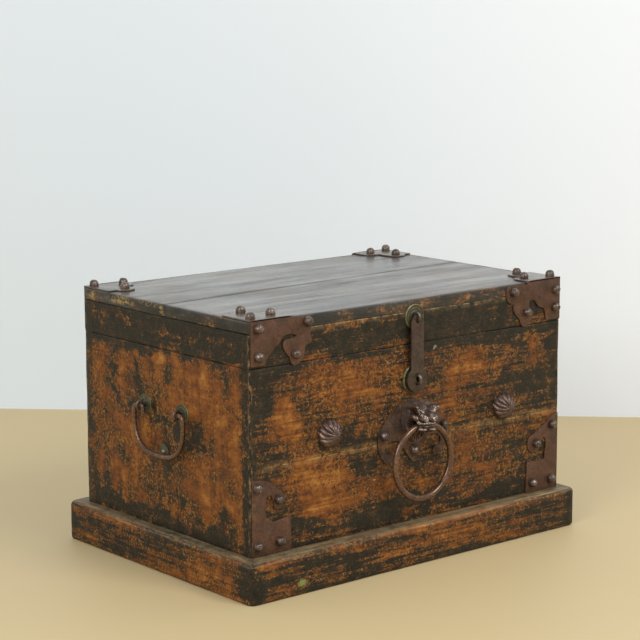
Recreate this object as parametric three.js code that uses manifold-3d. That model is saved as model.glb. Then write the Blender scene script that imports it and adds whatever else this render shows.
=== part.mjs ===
// Ship chest: a lacquered board chest with iron corner plates, a hasp, a ring handle and two end bails.
// Millimetres, +X to the right along the front, +Y to the back, +Z up.

import * as THREE from 'three';
import { mergeVertices } from 'three/addons/utils/BufferGeometryUtils.js';
import Module from 'manifold-3d';

const wasm = await Module();
wasm.setup();

// Chest walls
const chestLength = 736.5;
const chestDepth = 484.5;
const wallHeight = 320;
const wallThickness = 21;
const lowerBoardHeight = 150;
const lapHeight = 8;
const bottomThickness = 18;
const boardGap = 0.3;
const edgeWear = 1.4;

// Plinth
const plinthHeight = 73.5;
const plinthDepthOverhang = 32.5;
const plinthSetBack = 2.5;
const plinthEndOverhang = 23;
const plinthLedge = 14;
const plinthCornerRound = 14;
const plinthTopRound = 11;
const plinthFootRound = 5;
const plinthCurveSteps = 4;

// Lid
const lidHeight = 79.5;
const lidTopThickness = 21.5;
const lidSeamGap = 0.5;
const lidEdgeRound = 2;
const lidCornerRound = 4;
const topSeamAtLeft = -6;
const topSeamAtRight = 35;

// Iron plates and their domed studs
const plateThickness = 2.6;
const plateInset = 2;
const studRadius = 8.7;
const studHeight = 12;
const studSides = 8;
const plateCurveSteps = 2;

// Lid corner irons
const lidIronWidth = 145;
const lidIronDrop = 82;
const lidIronTopWidth = 86;
const lidIronTopDepth = 89;

// Base corner irons
const baseIronWidth = 86;
const baseIronHeight = 143;

// Staples: a wire loop on a shank that runs through the wood and is clenched inside
const shankRadius = 2.5;
const clenchReach = 13;
const clenchRadius = 2;
const shankSides = 8;
const loopSteps = 14;
const wireSides = 6;
const discSides = 16;

// Hasp
const haspX = -1.5;
const haspPivotZ = 442.5;
const haspPivotOut = 9.2;
const upperLoopRadius = 6.4;
const upperLoopWire = 2.2;
const strapWidth = 29;
const strapThickness = 3;
const strapTip = 10;
const strapHoleRadius = 3.9;
const strapClearance = 0.35;
const strapDiscRadius = 23;
const strapDiscZ = 331;
const strapSlotWidth = 7.4;
const strapSlotClearance = 0.6;
const strapCurveSteps = 8;
const lowerLoopRadius = 7.6;
const lowerLoopWire = 2.4;
const lowerLoopOut = 11.4;
const upperRosetteRadius = 22;
const lowerRosetteRadius = 27;
const upperRosetteHeight = 3.2;
const lowerRosetteHeight = 4.2;

// Ring handle with its beast mask
const handleX = -4;
const ringPivotZ = 253;
const ringPivotOut = 29;
const ringRadius = 66;
const ringWire = 5.75;
const ringClearance = 0.45;
const backplateHalfWidth = 83;
const backplateHeight = 115;
const backplateFootZ = 181;
const maskHalfWidth = 30;
const maskRise = 38;
const maskDrop = 23;
const maskDepth = 46;
const maskTiltAngle = 0.1;
const maskRim = 5;
const maskTangRadius = 4;
const maskTangRise = 9;
const maskToothPitchShare = 0.1428;
const maskBeardPitchShare = 0.3927;
const maskColumnCount = 32;
const maskRowCount = 21;
const maskMouthCrowdShare = 0.07;
const knobFlatness = 1.3;
const mouthSteps = 6;
const mouthSides = 20;
const ringSides = 8;
const ringSteps = 32;

// Ribbed bosses
const bossRadius = 25;
const bossHeight = 23;
const bossRibCount = 13;
const bossRibDepth = 2;
const bossTwistAngle = 0.55;
const bossRibSteps = 4;
const bossRings = 6;
const bossTangRadius = 3.5;
const bossTangReach = 15;
const leftBossX = -197;
const leftBossZ = 262;
const rightBossX = 221;
const rightBossZ = 251;

// End bails
const bailZ = 288;
const bailEyeSpacing = 110;
const bailPivotOut = 12.2;
const bailWire = 4.25;
const bailSpread = 144;
const bailDrop = 81.5;
const bailTip = 13;
const bailTipReach = 11;
const bailSteps = 36;
const bailClearance = 0.55;
const bailEyeWire = 2.1;
const bailRosetteRadius = 18.5;
const bailRosetteHeight = 2.7;
const strikerZ = 212;
const strikerRadius = 14;
const strikerHeight = 1.8;
const strikerHeadRadius = 5;
const strikerHeadHeight = 3.4;
const strikerNailReach = 14;

// Wire hinges at the back
const hingeBeyondIron = 6.25;
const hingeBelowSeam = 12;
const hingeOut = 10;
const hingeWire = 2.3;
const hingeClearance = 0.35;
const hingeEyeWire = 2.1;
const hingeLegSpread = 9;
const hingeLegRise = 27;
const hingeTailRise = 13;
const hingeLegClearance = 0.8;
const hingeSteps = 25;

// Shared measures of the way the solids are made
const overrun = 5;
const weldDistance = 0.0005;
const quarterTurn = Math.PI / 2;
const halfTurn = Math.PI;
const fullTurn = Math.PI * 2;

// Heights and places worked out from the sizes above
const wallFoot = plinthHeight + boardGap;
const wallTop = plinthHeight + wallHeight;
const lidFoot = wallTop + lidSeamGap;
const lidTop = wallTop + lidHeight;
const topBoardFoot = lidTop - lidTopThickness;
const skirtHeight = topBoardFoot - boardGap - lidFoot;
const endBoardLength = chestDepth - 2 * wallThickness - 2 * boardGap;
const hingeX = chestLength / 2 - plateInset - lidIronWidth - hingeBeyondIron;
const hingeZ = wallTop - hingeBelowSeam;
const strapPlaneZ = haspPivotZ - upperLoopRadius;
const strapHoleZ = strapPlaneZ - (strapHoleRadius - upperLoopWire - strapClearance);

// Outlines as shares of the plate that they cut: each row is a smooth stretch, and rows meet in cusps
const leftLidIronShares = [
  [[0.885, 0]],
  [[0.9, 0.12], [0.895, 0.27], [0.87, 0.39]],
  [[0.89, 0.5], [0.87, 0.585], [0.795, 0.63]],
  [[0.785, 0.74], [0.765, 0.87], [0.7, 0.98], [0.63, 1], [0.585, 0.95]],
  [[0.56, 0.82], [0.5, 0.7], [0.465, 0.56], [0.5, 0.455], [0.63, 0.44]],
  [[0.655, 0.395], [0.62, 0.36], [0.53, 0.345], [0.46, 0.39], [0.4, 0.53]],
  [[0.36, 0.56], [0.305, 0.66]],
  [[0.236, 0.77], [0.2, 0.91]],
  [[0, 0.91]],
];
const leftLidIronStudShares = [[0.09, 0.14], [0.825, 0.135], [0.64, 0.77], [0.1, 0.72]];
const rightLidIronShares = [
  [[0.945, 0]],
  [[0.965, 0.12], [0.97, 0.27], [0.93, 0.39], [0.846, 0.45]],
  [[0.84, 0.57], [0.8, 0.7], [0.735, 0.79]],
  [[0.715, 0.88], [0.68, 0.97], [0.62, 1], [0.565, 0.93]],
  [[0.515, 0.82], [0.495, 0.68], [0.565, 0.54]],
  [[0.55, 0.43], [0.48, 0.41], [0.43, 0.5], [0.38, 0.58], [0.3, 0.63]],
  [[0.27, 0.72], [0.255, 0.92]],
  [[0, 0.92]],
];
const rightLidIronStudShares = [[0.1, 0.24], [0.855, 0.17], [0.62, 0.66], [0.1, 0.64]];
const lidIronTopShares = [
  [[0.96, 0]],
  [[1, 0.16], [0.97, 0.38], [0.82, 0.5]],
  [[0.74, 0.49], [0.66, 0.53]],
  [[0.68, 0.7], [0.62, 0.92], [0.44, 1], [0.25, 0.93], [0.2, 0.84]],
  [[0, 0.84]],
];
const lidIronTopStudShares = [[0.13, 0.15], [0.76, 0.31], [0.44, 0.82]];
const leftBaseIronShares = [
  [[0.97, 0]],
  [[0.95, 0.41]],
  [[0.75, 0.4], [0.54, 0.385]],
  [[0.42, 0.42], [0.32, 0.48], [0.35, 0.58], [0.34, 0.68], [0.46, 0.705], [0.53, 0.63]],
  [[0.56, 0.545], [0.7, 0.53], [0.81, 0.62]],
  [[0.79, 0.68], [0.73, 0.73]],
  [[0.52, 0.83], [0.3, 0.9], [0, 0.93]],
];
const leftBaseIronStudShares = [[0.12, 0.13], [0.67, 0.135], [0.64, 0.645], [0.12, 0.83]];
const rightBaseIronShares = [
  [[0.97, 0]],
  [[0.94, 0.41]],
  [[0.7, 0.41], [0.4, 0.41]],
  [[0.385, 0.52], [0.36, 0.62], [0.41, 0.7], [0.49, 0.68], [0.54, 0.6]],
  [[0.62, 0.54], [0.8, 0.53], [0.92, 0.6], [0.92, 0.69]],
  [[0.86, 0.745], [0.71, 0.78]],
  [[0.56, 0.83], [0.36, 0.9], [0.16, 0.985]],
  [[0, 1]],
];
const rightBaseIronStudShares = [[0.21, 0.125], [0.79, 0.125], [0.685, 0.645], [0.195, 0.86]];
const backplateShares = [
  [[0.12, 0.09], [0.27, 0.24]],
  [[0.36, 0.3], [0.42, 0.37]],
  [[0.56, 0.385], [0.72, 0.36], [0.8, 0.28], [0.75, 0.2], [0.6, 0.17]],
  [[0.57, 0.09], [0.66, 0.04], [0.8, 0.06]],
  [[0.93, 0.19], [1, 0.35], [0.97, 0.52]],
  [[0.83, 0.68], [0.69, 0.79]],
  [[0.6, 0.77], [0.52, 0.82]],
  [[0.42, 0.93], [0.22, 0.96], [0, 1]],
];
const backplateSideStudShares = [0.86, 0.5];
const backplateFootStudShare = 0.2;

const bailArmShares = [
  [0.86, 0], [0.965, -0.03], [1, -0.13], [1, -0.36], [0.94, -0.6], [0.78, -0.82], [0.45, -0.965], [0, -1],
];

// The beast's face as shares of the mask's half width, its height and its depth
const maskTopShares = [[0, 0.8], [0.25, 0.82], [0.5, 0.9], [0.76, 1], [0.93, 0.98], [1, 0.86]];
const maskChinShares = [[0, 0], [0.3, 0.03], [0.52, 0.1], [0.7, 0.26], [0.86, 0.46], [1, 0.58]];
const maskBrowShares = [
  [0.37, 0.64, 0.25, 0.125, 0.3], [0.45, 0.7, 0.2, 0.11, 0.24], [0.53, 0.75, 0.18, 0.1, 0.22],
  [0.61, 0.8, 0.17, 0.1, 0.24], [0.69, 0.85, 0.17, 0.1, 0.3], [0.77, 0.89, 0.17, 0.1, 0.38],
  [0.82, 0.93, 0.16, 0.09, 0.44],
];
const maskSkullShares = [0.48, 0.62, 0.36, 0.5];
const maskMuzzleShares = [0.38, 0.68, 0.2, 0.2];
const maskTeethShares = [0.455, 0.62, 0.03, 0.06];
const maskSlitShares = [0.39, 0.66, 0.018, -0.11];
const maskBeardShares = [0.1, 1, 0.1, 0.05];
const maskBaseShare = 0.2;
const maskWidenShare = 0.75;
const maskWidenFromShare = 0.4;
const maskKnobShares = [
  [0.84, 0.62, 0.2, 0.11, 0.2], [0.3, 0.265, 0.3, 0.065, 0.13], [0, 0.62, 0.12, 0.08, 0.08],
];
const bossRimShare = 0.08;

// Profiles as shares of a radius and a height
const studFootShare = 0.94;
const studShares = [[1, 0.28], [0.76, 0.8], [0, 1]];
const haspRosetteShares = [
  [1, 0], [1, 0.5], [0.92, 0.9], [0.8, 0.5], [0.62, 0.85], [0.52, 0.55], [0.43, 0.95],
];
const bailRosetteShares = [[1, 0], [0.94, 0.8], [0.78, 0.5], [0.58, 1], [0.4, 0.6], [0.28, 0.9]];

const lacquer = { color: 0x5a3a20, roughness: 0.62, metalness: 0 };
const lidLacquer = { color: 0x4a3b30, roughness: 0.45, metalness: 0 };
const bareWood = { color: 0x8a6a44, roughness: 0.8, metalness: 0 };
const rustedIron = { color: 0x4c3830, roughness: 0.55, metalness: 0.7 };
const castIron = { color: 0x5d4a43, roughness: 0.42, metalness: 0.8 };
const greenBrass = { color: 0x5b5a3c, roughness: 0.5, metalness: 0.8 };

// Frames of reference: the chest and the four sides, each with x to the right, y up and z out of the wood
const chest = new THREE.Group();
const plinth = new THREE.Group();
plinth.position.y = plinthSetBack;
chest.add(plinth);
const front = sideFrame(0, chestDepth / 2);
const back = sideFrame(halfTurn, chestDepth / 2);
const left = sideFrame(-quarterTurn, chestLength / 2);
const right = sideFrame(quarterTurn, chestLength / 2);

function sideFrame(turn, reach) {
  const aim = new THREE.Group();
  const side = new THREE.Group();
  aim.rotation.z = turn;
  side.rotation.x = quarterTurn;
  side.position.y = -reach;
  aim.add(side);
  chest.add(aim);
  return side;
}

function addPart(frame, name, geometry, finish) {
  const mesh = new THREE.Mesh(geometry, new THREE.MeshStandardMaterial(finish));
  mesh.name = name;
  frame.add(mesh);
  return mesh;
}

// Only the welded positions of a closed geometry, without the slivers at its poles
function welded(geometry) {
  const bare = geometry.clone();
  bare.deleteAttribute('normal');
  bare.deleteAttribute('uv');
  const whole = mergeVertices(bare, weldDistance);
  const corners = Array.from(whole.index.array);
  const kept = [];
  for (let i = 0; i < corners.length; i += 3) {
    const [a, b, c] = corners.slice(i, i + 3);
    if (a !== b && b !== c && c !== a) kept.push(a, b, c);
  }
  whole.setIndex(kept);
  return whole;
}

function solidOf(geometry) {
  const shell = welded(geometry);
  return new wasm.Manifold(new wasm.Mesh({
    numProp: 3,
    vertProperties: new Float32Array(shell.attributes.position.array),
    triVerts: new Uint32Array(shell.index.array),
  }));
}

function geometryOf(solid) {
  const { vertProperties, triVerts } = solid.getMesh();
  const geometry = new THREE.BufferGeometry();
  geometry.setAttribute('position', new THREE.BufferAttribute(vertProperties, 3));
  geometry.setIndex(new THREE.BufferAttribute(triVerts, 1));
  return geometry;
}

function fused(geometries) {
  const solids = geometries.map(solidOf);
  return geometryOf(solids.reduce((whole, piece) => whole.add(piece)));
}

function pierced(geometry, cutters) {
  const solids = cutters.map(solidOf);
  return geometryOf(solids.reduce((whole, hole) => whole.subtract(hole), solidOf(geometry)));
}

// A cylinder along z, from one height to another
function roundBar(radius, low, high) {
  const bar = new THREE.CylinderGeometry(radius, radius, high - low, shankSides);
  return bar.rotateX(quarterTurn).translate(0, 0, (low + high) / 2);
}

// A turned piece along z, from a profile of radius and height
function turned(profile, sides) {
  const points = profile.map(([radius, height]) => new THREE.Vector2(radius, height));
  return new THREE.LatheGeometry(points, sides).rotateX(quarterTurn);
}

// A bent round wire through the given points, with its steps crowded where the points are
function bentWire(points, radius, steps) {
  const section = new THREE.Shape().absarc(0, 0, radius, 0, fullTurn);
  const bends = points.map(([x, y, z]) => new THREE.Vector3(x, y, z));
  const path = new THREE.CatmullRomCurve3(bends, false, 'centripetal');
  path.getUtoTmapping = (share) => share;
  return new THREE.ExtrudeGeometry(section, { steps, curveSegments: wireSides / 2, extrudePath: path });
}

// A flat outline of smooth stretches that meet in cusps, closed through its start
function cuspedShape(stretches, place) {
  const shape = new THREE.Shape();
  shape.moveTo(...place([0, 0]));
  for (const stretch of stretches) {
    const points = stretch.map((share) => new THREE.Vector2(...place(share)));
    if (points.length === 1) shape.lineTo(points[0].x, points[0].y);
    else shape.splineThru(points);
  }
  return shape;
}

function plate(shape) {
  return new THREE.ExtrudeGeometry(shape, {
    depth: plateThickness,
    bevelEnabled: false,
    curveSegments: plateCurveSteps,
  });
}

// A domed stud whose foot is sunk into the plate that it stands on
function stud([x, y]) {
  const sunk = plateThickness / 2;
  const dome = studShares.map(([across, up]) => [across * studRadius, up * studHeight]);
  const profile = [[0, -sunk], [studFootShare * studRadius, -sunk], ...dome];
  return turned(profile, studSides).translate(x, y, plateThickness);
}

// One plinth rail in the frame of the front: a rounded section with mitred ends
function plinthRail(name, turn, halfLength, halfDepth, overhang, endOverhang) {
  const innerReach = wallThickness + plinthLedge;
  const section = new THREE.Shape();
  section.moveTo(-innerReach, 0);
  section.lineTo(overhang - plinthFootRound, 0);
  section.quadraticCurveTo(overhang, 0, overhang, plinthFootRound);
  section.lineTo(overhang, plinthHeight - plinthTopRound);
  section.quadraticCurveTo(overhang, plinthHeight, overhang - plinthTopRound, plinthHeight);
  section.lineTo(-innerReach, plinthHeight);
  const rail = new THREE.ExtrudeGeometry(section, {
    depth: 1,
    bevelEnabled: false,
    curveSegments: plinthCurveSteps,
  });
  const spots = rail.attributes.position;
  const mitreSlope = (innerReach + endOverhang) / (innerReach + overhang);
  for (let i = 0; i < spots.count; i += 1) {
    const out = spots.getX(i);
    const reach = halfLength - innerReach + (out + innerReach) * mitreSlope - boardGap / 2;
    spots.setXYZ(i, (1 - 2 * spots.getZ(i)) * reach, -(halfDepth + out), spots.getY(i));
  }
  const corners = roundedSlab(halfLength + endOverhang, halfDepth + overhang, plinthHeight + overrun);
  const rounded = solidOf(rail).intersect(solidOf(corners));
  addPart(plinth, name, geometryOf(rounded), lacquer).rotation.z = turn;
}

// A slab on the floor plane with rounded upright corners
function roundedSlab(halfX, halfY, height) {
  const round = plinthCornerRound;
  const plan = new THREE.Shape();
  plan.moveTo(-halfX + round, -halfY);
  plan.lineTo(halfX - round, -halfY);
  plan.quadraticCurveTo(halfX, -halfY, halfX, -halfY + round);
  plan.lineTo(halfX, halfY - round);
  plan.quadraticCurveTo(halfX, halfY, halfX - round, halfY);
  plan.lineTo(-halfX + round, halfY);
  plan.quadraticCurveTo(-halfX, halfY, -halfX, halfY - round);
  plan.lineTo(-halfX, -halfY + round);
  plan.quadraticCurveTo(-halfX, -halfY, -halfX + round, -halfY);
  return new THREE.ExtrudeGeometry(plan, {
    depth: height,
    bevelEnabled: false,
    curveSegments: plinthCurveSteps,
  });
}

function makePlinth() {
  const halfLength = chestLength / 2;
  const halfDepth = chestDepth / 2;
  plinthRail('plinth_front', 0, halfLength, halfDepth, plinthDepthOverhang, plinthEndOverhang);
  plinthRail('plinth_back', halfTurn, halfLength, halfDepth, plinthDepthOverhang, plinthEndOverhang);
  plinthRail('plinth_left', -quarterTurn, halfDepth, halfLength, plinthEndOverhang, plinthDepthOverhang);
  plinthRail('plinth_right', quarterTurn, halfDepth, halfLength, plinthEndOverhang, plinthDepthOverhang);
}

// A board that lies along x in the frame of a side, from its section in height and depth
function sideBoard(section, length) {
  const board = new THREE.ExtrudeGeometry(section, { depth: length, bevelEnabled: false });
  return board.rotateY(quarterTurn).translate(-length / 2, 0, 0);
}

// A section of depth (x from 0 leftwards into the wood) and height, with the arrises of its face worn down
function boardSection(low, high, lapAbove, lapBelow) {
  const half = wallThickness / 2;
  const section = new THREE.Shape();
  section.moveTo(edgeWear, low);
  if (lapBelow) section.lineTo(half - boardGap / 2, low);
  if (lapBelow) section.lineTo(half - boardGap / 2, low + lapHeight);
  section.lineTo(wallThickness, low + (lapBelow ? lapHeight : 0));
  section.lineTo(wallThickness, high + (lapAbove ? lapHeight : 0));
  if (lapAbove) section.lineTo(half + boardGap / 2, high + lapHeight);
  if (lapAbove) section.lineTo(half + boardGap / 2, high);
  section.lineTo(edgeWear, high);
  section.lineTo(0, high - edgeWear);
  section.lineTo(0, low + edgeWear);
  return section;
}

// Holes for shanks, as [x, height, radius], or as [x, height, radius, depth] where one stops in the wood
function boardHoles(holes) {
  return holes.map(([x, y, radius, depth = wallThickness + overrun]) =>
    roundBar(radius + boardGap, -depth, overrun).translate(x, y, 0));
}

function addBoard(frame, name, section, length, holes, finish) {
  const board = sideBoard(section, length);
  addPart(frame, name, pierced(board, boardHoles(holes)), finish);
}

function makeWalls() {
  const seam = plinthHeight + lowerBoardHeight;
  const lowerSection = boardSection(wallFoot, seam, true, false);
  const upperSection = boardSection(seam + boardGap, wallTop, false, true);
  const frontHoles = [
    [haspX, strapDiscZ, shankRadius],
    [handleX, ringPivotZ + maskTangRise, maskTangRadius],
    [leftBossX, leftBossZ, bossTangRadius, bossTangReach + boardGap],
    [rightBossX, rightBossZ, bossTangRadius, bossTangReach + boardGap],
  ];
  const hingeHoles = [[-hingeX, hingeZ, shankRadius], [hingeX, hingeZ, shankRadius]];
  addBoard(front, 'front_lower_board', lowerSection, chestLength, [], lacquer);
  addBoard(front, 'front_upper_board', upperSection, chestLength, frontHoles, lacquer);
  addBoard(back, 'back_lower_board', lowerSection, chestLength, [], lacquer);
  addBoard(back, 'back_upper_board', upperSection, chestLength, hingeHoles, lacquer);
  const endSection = boardSection(wallFoot, wallTop, false, false);
  const endHoles = [
    [-bailEyeSpacing / 2, bailZ, shankRadius],
    [bailEyeSpacing / 2, bailZ, shankRadius],
    [0, strikerZ, shankRadius, strikerNailReach + boardGap],
  ];
  addBoard(left, 'left_end_board', endSection, endBoardLength, endHoles, lacquer);
  addBoard(right, 'right_end_board', endSection, endBoardLength, endHoles, lacquer);
}

function makeBottom() {
  const length = chestLength - 2 * wallThickness - 2 * boardGap;
  const bottom = new THREE.BoxGeometry(length, endBoardLength, bottomThickness);
  addPart(chest, 'bottom_board', bottom, bareWood).position.z = wallFoot + bottomThickness / 2;
}

function makeLidSkirts() {
  const section = boardSection(lidFoot, lidFoot + skirtHeight, false, false);
  const legs = [-hingeLegSpread, hingeLegSpread];
  const legRoom = hingeWire + hingeLegClearance;
  const legZ = hingeZ + hingeLegRise;
  const legHoles = [-hingeX, hingeX].flatMap((x) => legs.map((leg) => [x + leg, legZ, legRoom]));
  addBoard(front, 'lid_front_skirt', section, chestLength, [[haspX, haspPivotZ, shankRadius]], lacquer);
  addBoard(back, 'lid_back_skirt', section, chestLength, legHoles, lacquer);
  addBoard(left, 'lid_left_skirt', section, endBoardLength, [], lacquer);
  addBoard(right, 'lid_right_skirt', section, endBoardLength, [], lacquer);
}

// One of the two top boards: its outer corners are rounded, and the seam between them runs askew
function topBoard(name, side) {
  const halfX = chestLength / 2;
  const edge = side * chestDepth / 2;
  const seam = side * boardGap / 2;
  const inner = edge - side * lidCornerRound;
  const plan = new THREE.Shape();
  plan.moveTo(-halfX, topSeamAtLeft + seam);
  plan.lineTo(-halfX, inner);
  plan.quadraticCurveTo(-halfX, edge, -halfX + lidCornerRound, edge);
  plan.lineTo(halfX - lidCornerRound, edge);
  plan.quadraticCurveTo(halfX, edge, halfX, inner);
  plan.lineTo(halfX, topSeamAtRight + seam);
  const board = new THREE.ExtrudeGeometry(plan, {
    depth: lidTopThickness - 2 * lidEdgeRound,
    bevelThickness: lidEdgeRound,
    bevelSize: lidEdgeRound,
    bevelOffset: -lidEdgeRound,
    bevelSegments: 2,
    curveSegments: 3,
  });
  addPart(chest, name, board, lidLacquer).position.z = topBoardFoot + lidEdgeRound;
}

// A corner iron of the lid, bent over its upper edge: a pierced plate on the face, a smaller one on the top
function lidCornerIron(frame, name, side, faceShares, faceStudShares) {
  const bend = boardGap + plateThickness;
  const drop = ([u, v]) => [side * (plateInset + u * lidIronWidth), v === 0 ? bend : -v * lidIronDrop];
  const lie = ([u, v]) => [side * (plateInset + u * lidIronTopWidth), v === 0 ? -bend : v * lidIronTopDepth];
  const faceStuds = faceStudShares.map((at) => stud(drop(at)));
  const topStuds = lidIronTopStudShares.map((at) => stud(lie(at)));
  const facePieces = [plate(cuspedShape(faceShares, drop)), ...faceStuds];
  const topPieces = [plate(cuspedShape(lidIronTopShares, lie)), ...topStuds];
  const upright = facePieces.map((piece) => piece.translate(0, 0, boardGap));
  const flat = topPieces.map((piece) => piece.rotateX(-quarterTurn).translate(0, boardGap, 0));
  const iron = addPart(frame, name, fused([...upright, ...flat]), rustedIron);
  iron.position.set(-side * chestLength / 2, lidTop, 0);
}

function baseCornerIron(name, side, shares, studPlaces) {
  const rise = ([u, v]) => [side * (plateInset + u * baseIronWidth), v * baseIronHeight];
  const studs = studPlaces.map((at) => stud(rise(at)));
  const pieces = [plate(cuspedShape(shares, rise)), ...studs];
  const iron = addPart(front, name, fused(pieces), rustedIron);
  iron.position.set(-side * chestLength / 2, wallFoot + boardGap, boardGap);
}

// A round pierced rosette with concentric mouldings, whose hole clears the loop that stands in it
function rosette(shares, radius, height, loopReach, loopOut) {
  const level = loopOut - height - boardGap;
  const loopHalf = Math.sqrt(Math.max(0, loopReach ** 2 - level ** 2));
  const hole = Math.max(shankRadius, loopHalf) + boardGap;
  const rim = shares.map(([across, up]) => [across * radius, up * height]);
  const top = rim[rim.length - 1];
  return turned([[hole, 0], ...rim, [hole, top[1]], [hole, 0]], discSides);
}

// The two ends of a shank, bent apart along the inner face of the wood
function clenchBar(inside) {
  return roundBar(clenchRadius, -clenchReach, clenchReach).rotateY(quarterTurn).translate(0, 0, inside);
}

// A wire loop that stands on edge, with its shank and the two clenched ends inside the wood
function loopStaple(loopRadius, wire, out) {
  const loop = new THREE.TorusGeometry(loopRadius, wire, wireSides, loopSteps).rotateY(quarterTurn);
  const inside = -(wallThickness + boardGap + clenchRadius);
  const shank = roundBar(shankRadius, inside, out - loopRadius);
  return fused([loop.translate(0, 0, out), shank, clenchBar(inside)]);
}

// Strap of the hasp, drawn from the middle of its slotted disc: a straight neck and a round head with a hole
function strapGeometry() {
  const neck = strapWidth / 2;
  const shoulder = Math.sqrt(strapDiscRadius ** 2 - neck ** 2);
  const headZ = strapPlaneZ + strapTip - neck - strapDiscZ;
  const slotHalf = lowerLoopRadius + lowerLoopWire + strapSlotClearance;
  const corner = strapSlotWidth / 2;
  const meet = Math.atan2(shoulder, neck);
  const shape = new THREE.Shape();
  shape.absarc(0, 0, strapDiscRadius, halfTurn - meet, fullTurn + meet);
  shape.lineTo(neck, headZ);
  shape.absarc(0, headZ, neck, 0, halfTurn);
  const hole = new THREE.Path().absarc(0, strapHoleZ - strapDiscZ, strapHoleRadius, 0, fullTurn);
  const slot = new THREE.Path();
  slot.absarc(0, slotHalf - corner, corner, 0, halfTurn);
  slot.absarc(0, corner - slotHalf, corner, halfTurn, fullTurn);
  shape.holes.push(hole, slot);
  return new THREE.ExtrudeGeometry(shape, {
    depth: strapThickness,
    bevelEnabled: false,
    curveSegments: strapCurveSteps,
  });
}

function makeHasp() {
  const upperReach = upperLoopRadius + upperLoopWire;
  const lowerReach = lowerLoopRadius + lowerLoopWire;
  const shares = haspRosetteShares;
  const upperRosette = rosette(shares, upperRosetteRadius, upperRosetteHeight, upperReach, haspPivotOut);
  const lowerRosette = rosette(shares, lowerRosetteRadius, lowerRosetteHeight, lowerReach, lowerLoopOut);
  const upperLoop = loopStaple(upperLoopRadius, upperLoopWire, haspPivotOut);
  const lowerLoop = loopStaple(lowerLoopRadius, lowerLoopWire, lowerLoopOut);
  addPart(front, 'hasp_upper_rosette', upperRosette, greenBrass).position.set(haspX, haspPivotZ, boardGap);
  addPart(front, 'hasp_upper_staple', upperLoop, rustedIron).position.set(haspX, haspPivotZ, 0);
  addPart(front, 'hasp_lower_rosette', lowerRosette, greenBrass).position.set(haspX, strapDiscZ, boardGap);
  addPart(front, 'hasp_lower_staple', lowerLoop, rustedIron).position.set(haspX, strapDiscZ, 0);
  const strap = addPart(front, 'hasp_strap', strapGeometry(), rustedIron);
  strap.position.set(haspX, strapDiscZ, haspPivotOut - strapThickness / 2);
}

// The other half of an outline that climbs from its foot to its head: mirrored, and run back down
function mirroredBack(stretches) {
  const returning = stretches.map((stretch, i) => {
    const start = i ? stretches[i - 1].at(-1) : [0, 0];
    return [...stretch.slice(0, -1).reverse(), start].map(([u, v]) => [-u, v]);
  });
  return returning.reverse();
}

// Backplate of the ring handle: two hooked cloud wings and a pointed foot, each with its stud
function backplateGeometry() {
  const place = ([u, v]) => [u * backplateHalfWidth, v * backplateHeight];
  const outline = cuspedShape([...backplateShares, ...mirroredBack(backplateShares)], place);
  const [wing, wingHeight] = backplateSideStudShares;
  const spots = [[wing, wingHeight], [-wing, wingHeight], [0, backplateFootStudShare]];
  const body = fused([plate(outline), ...spots.map((at) => stud(place(at)))]);
  const tangZ = ringPivotZ + maskTangRise - backplateFootZ;
  const tangHole = roundBar(maskTangRadius + boardGap, -overrun, plateThickness + overrun);
  return pierced(body, [tangHole.translate(0, tangZ, 0)]);
}

// A closed relief: rings of points that climb from a flat foot to a crown
function relief(rings, spokes, point) {
  const crown = point(1, 0);
  const spots = [];
  const faces = [];
  for (let ring = 0; ring < rings; ring += 1) {
    for (let spoke = 0; spoke < spokes; spoke += 1) spots.push(...point(ring / rings, spoke / spokes));
  }
  const top = rings * spokes;
  spots.push(...crown, crown[0], crown[1], 0);
  for (let spoke = 0; spoke < spokes; spoke += 1) {
    const next = (spoke + 1) % spokes;
    faces.push(next, spoke, top + 1);
    for (let ring = 0; ring < rings - 1; ring += 1) {
      const low = ring * spokes;
      const high = low + spokes;
      faces.push(low + spoke, low + next, high + next);
      faces.push(low + spoke, high + next, high + spoke);
    }
    faces.push(top - spokes + spoke, top - spokes + next, top);
  }
  const geometry = new THREE.BufferGeometry();
  geometry.setAttribute('position', new THREE.Float32BufferAttribute(spots, 3));
  geometry.setIndex(faces);
  return geometry;
}

// A raised field of the relief: nearly level inside its half width and half height, and steep at its edge
function field(u, v, [middle, halfU, halfV, rise]) {
  return rise * Math.exp(-((u / halfU) ** 4) - ((v - middle) / halfV) ** 4);
}

// A round knob of the relief, with a clear edge
function knob(u, v, [atU, atV, halfU, halfV, rise]) {
  const away = ((u - atU) / halfU) ** 2 + ((v - atV) / halfV) ** 2;
  return away < 1 ? rise * (1 - away ** knobFlatness) : 0;
}

// Height of the beast's face, as a share of the mask's depth, at a place across and up
function faceHeight(across, up) {
  const u = Math.abs(across);
  const [middle, halfWidth, ...skullRest] = maskSkullShares;
  const wide = halfWidth + maskWidenShare * Math.max(0, up - maskWidenFromShare);
  const skull = field(u, up, [middle, wide, ...skullRest]);
  const jaws = field(u, up, maskMuzzleShares) + field(u, up, maskSlitShares);
  const teeth = field(u, up, maskTeethShares) * Math.abs(Math.cos(halfTurn * u / maskToothPitchShare));
  const beard = field(u, up, maskBeardShares) * Math.cos(fullTurn * u / maskBeardPitchShare);
  const brow = Math.max(...maskBrowShares.map((each) => knob(u, up, each)));
  const knobs = maskKnobShares.reduce((sum, each) => sum + knob(u, up, each), 0);
  return maskBaseShare + skull + jaws + teeth + beard + brow + knobs;
}

// Height of an outline where it passes over a place across
function curveOver(shares, across) {
  const after = Math.max(1, shares.findIndex(([u]) => u >= across));
  const [[lowU, lowV], [highU, highV]] = [shares[after - 1], shares[after]];
  return lowV + (highV - lowV) * (across - lowU) / (highU - lowU);
}

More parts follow.
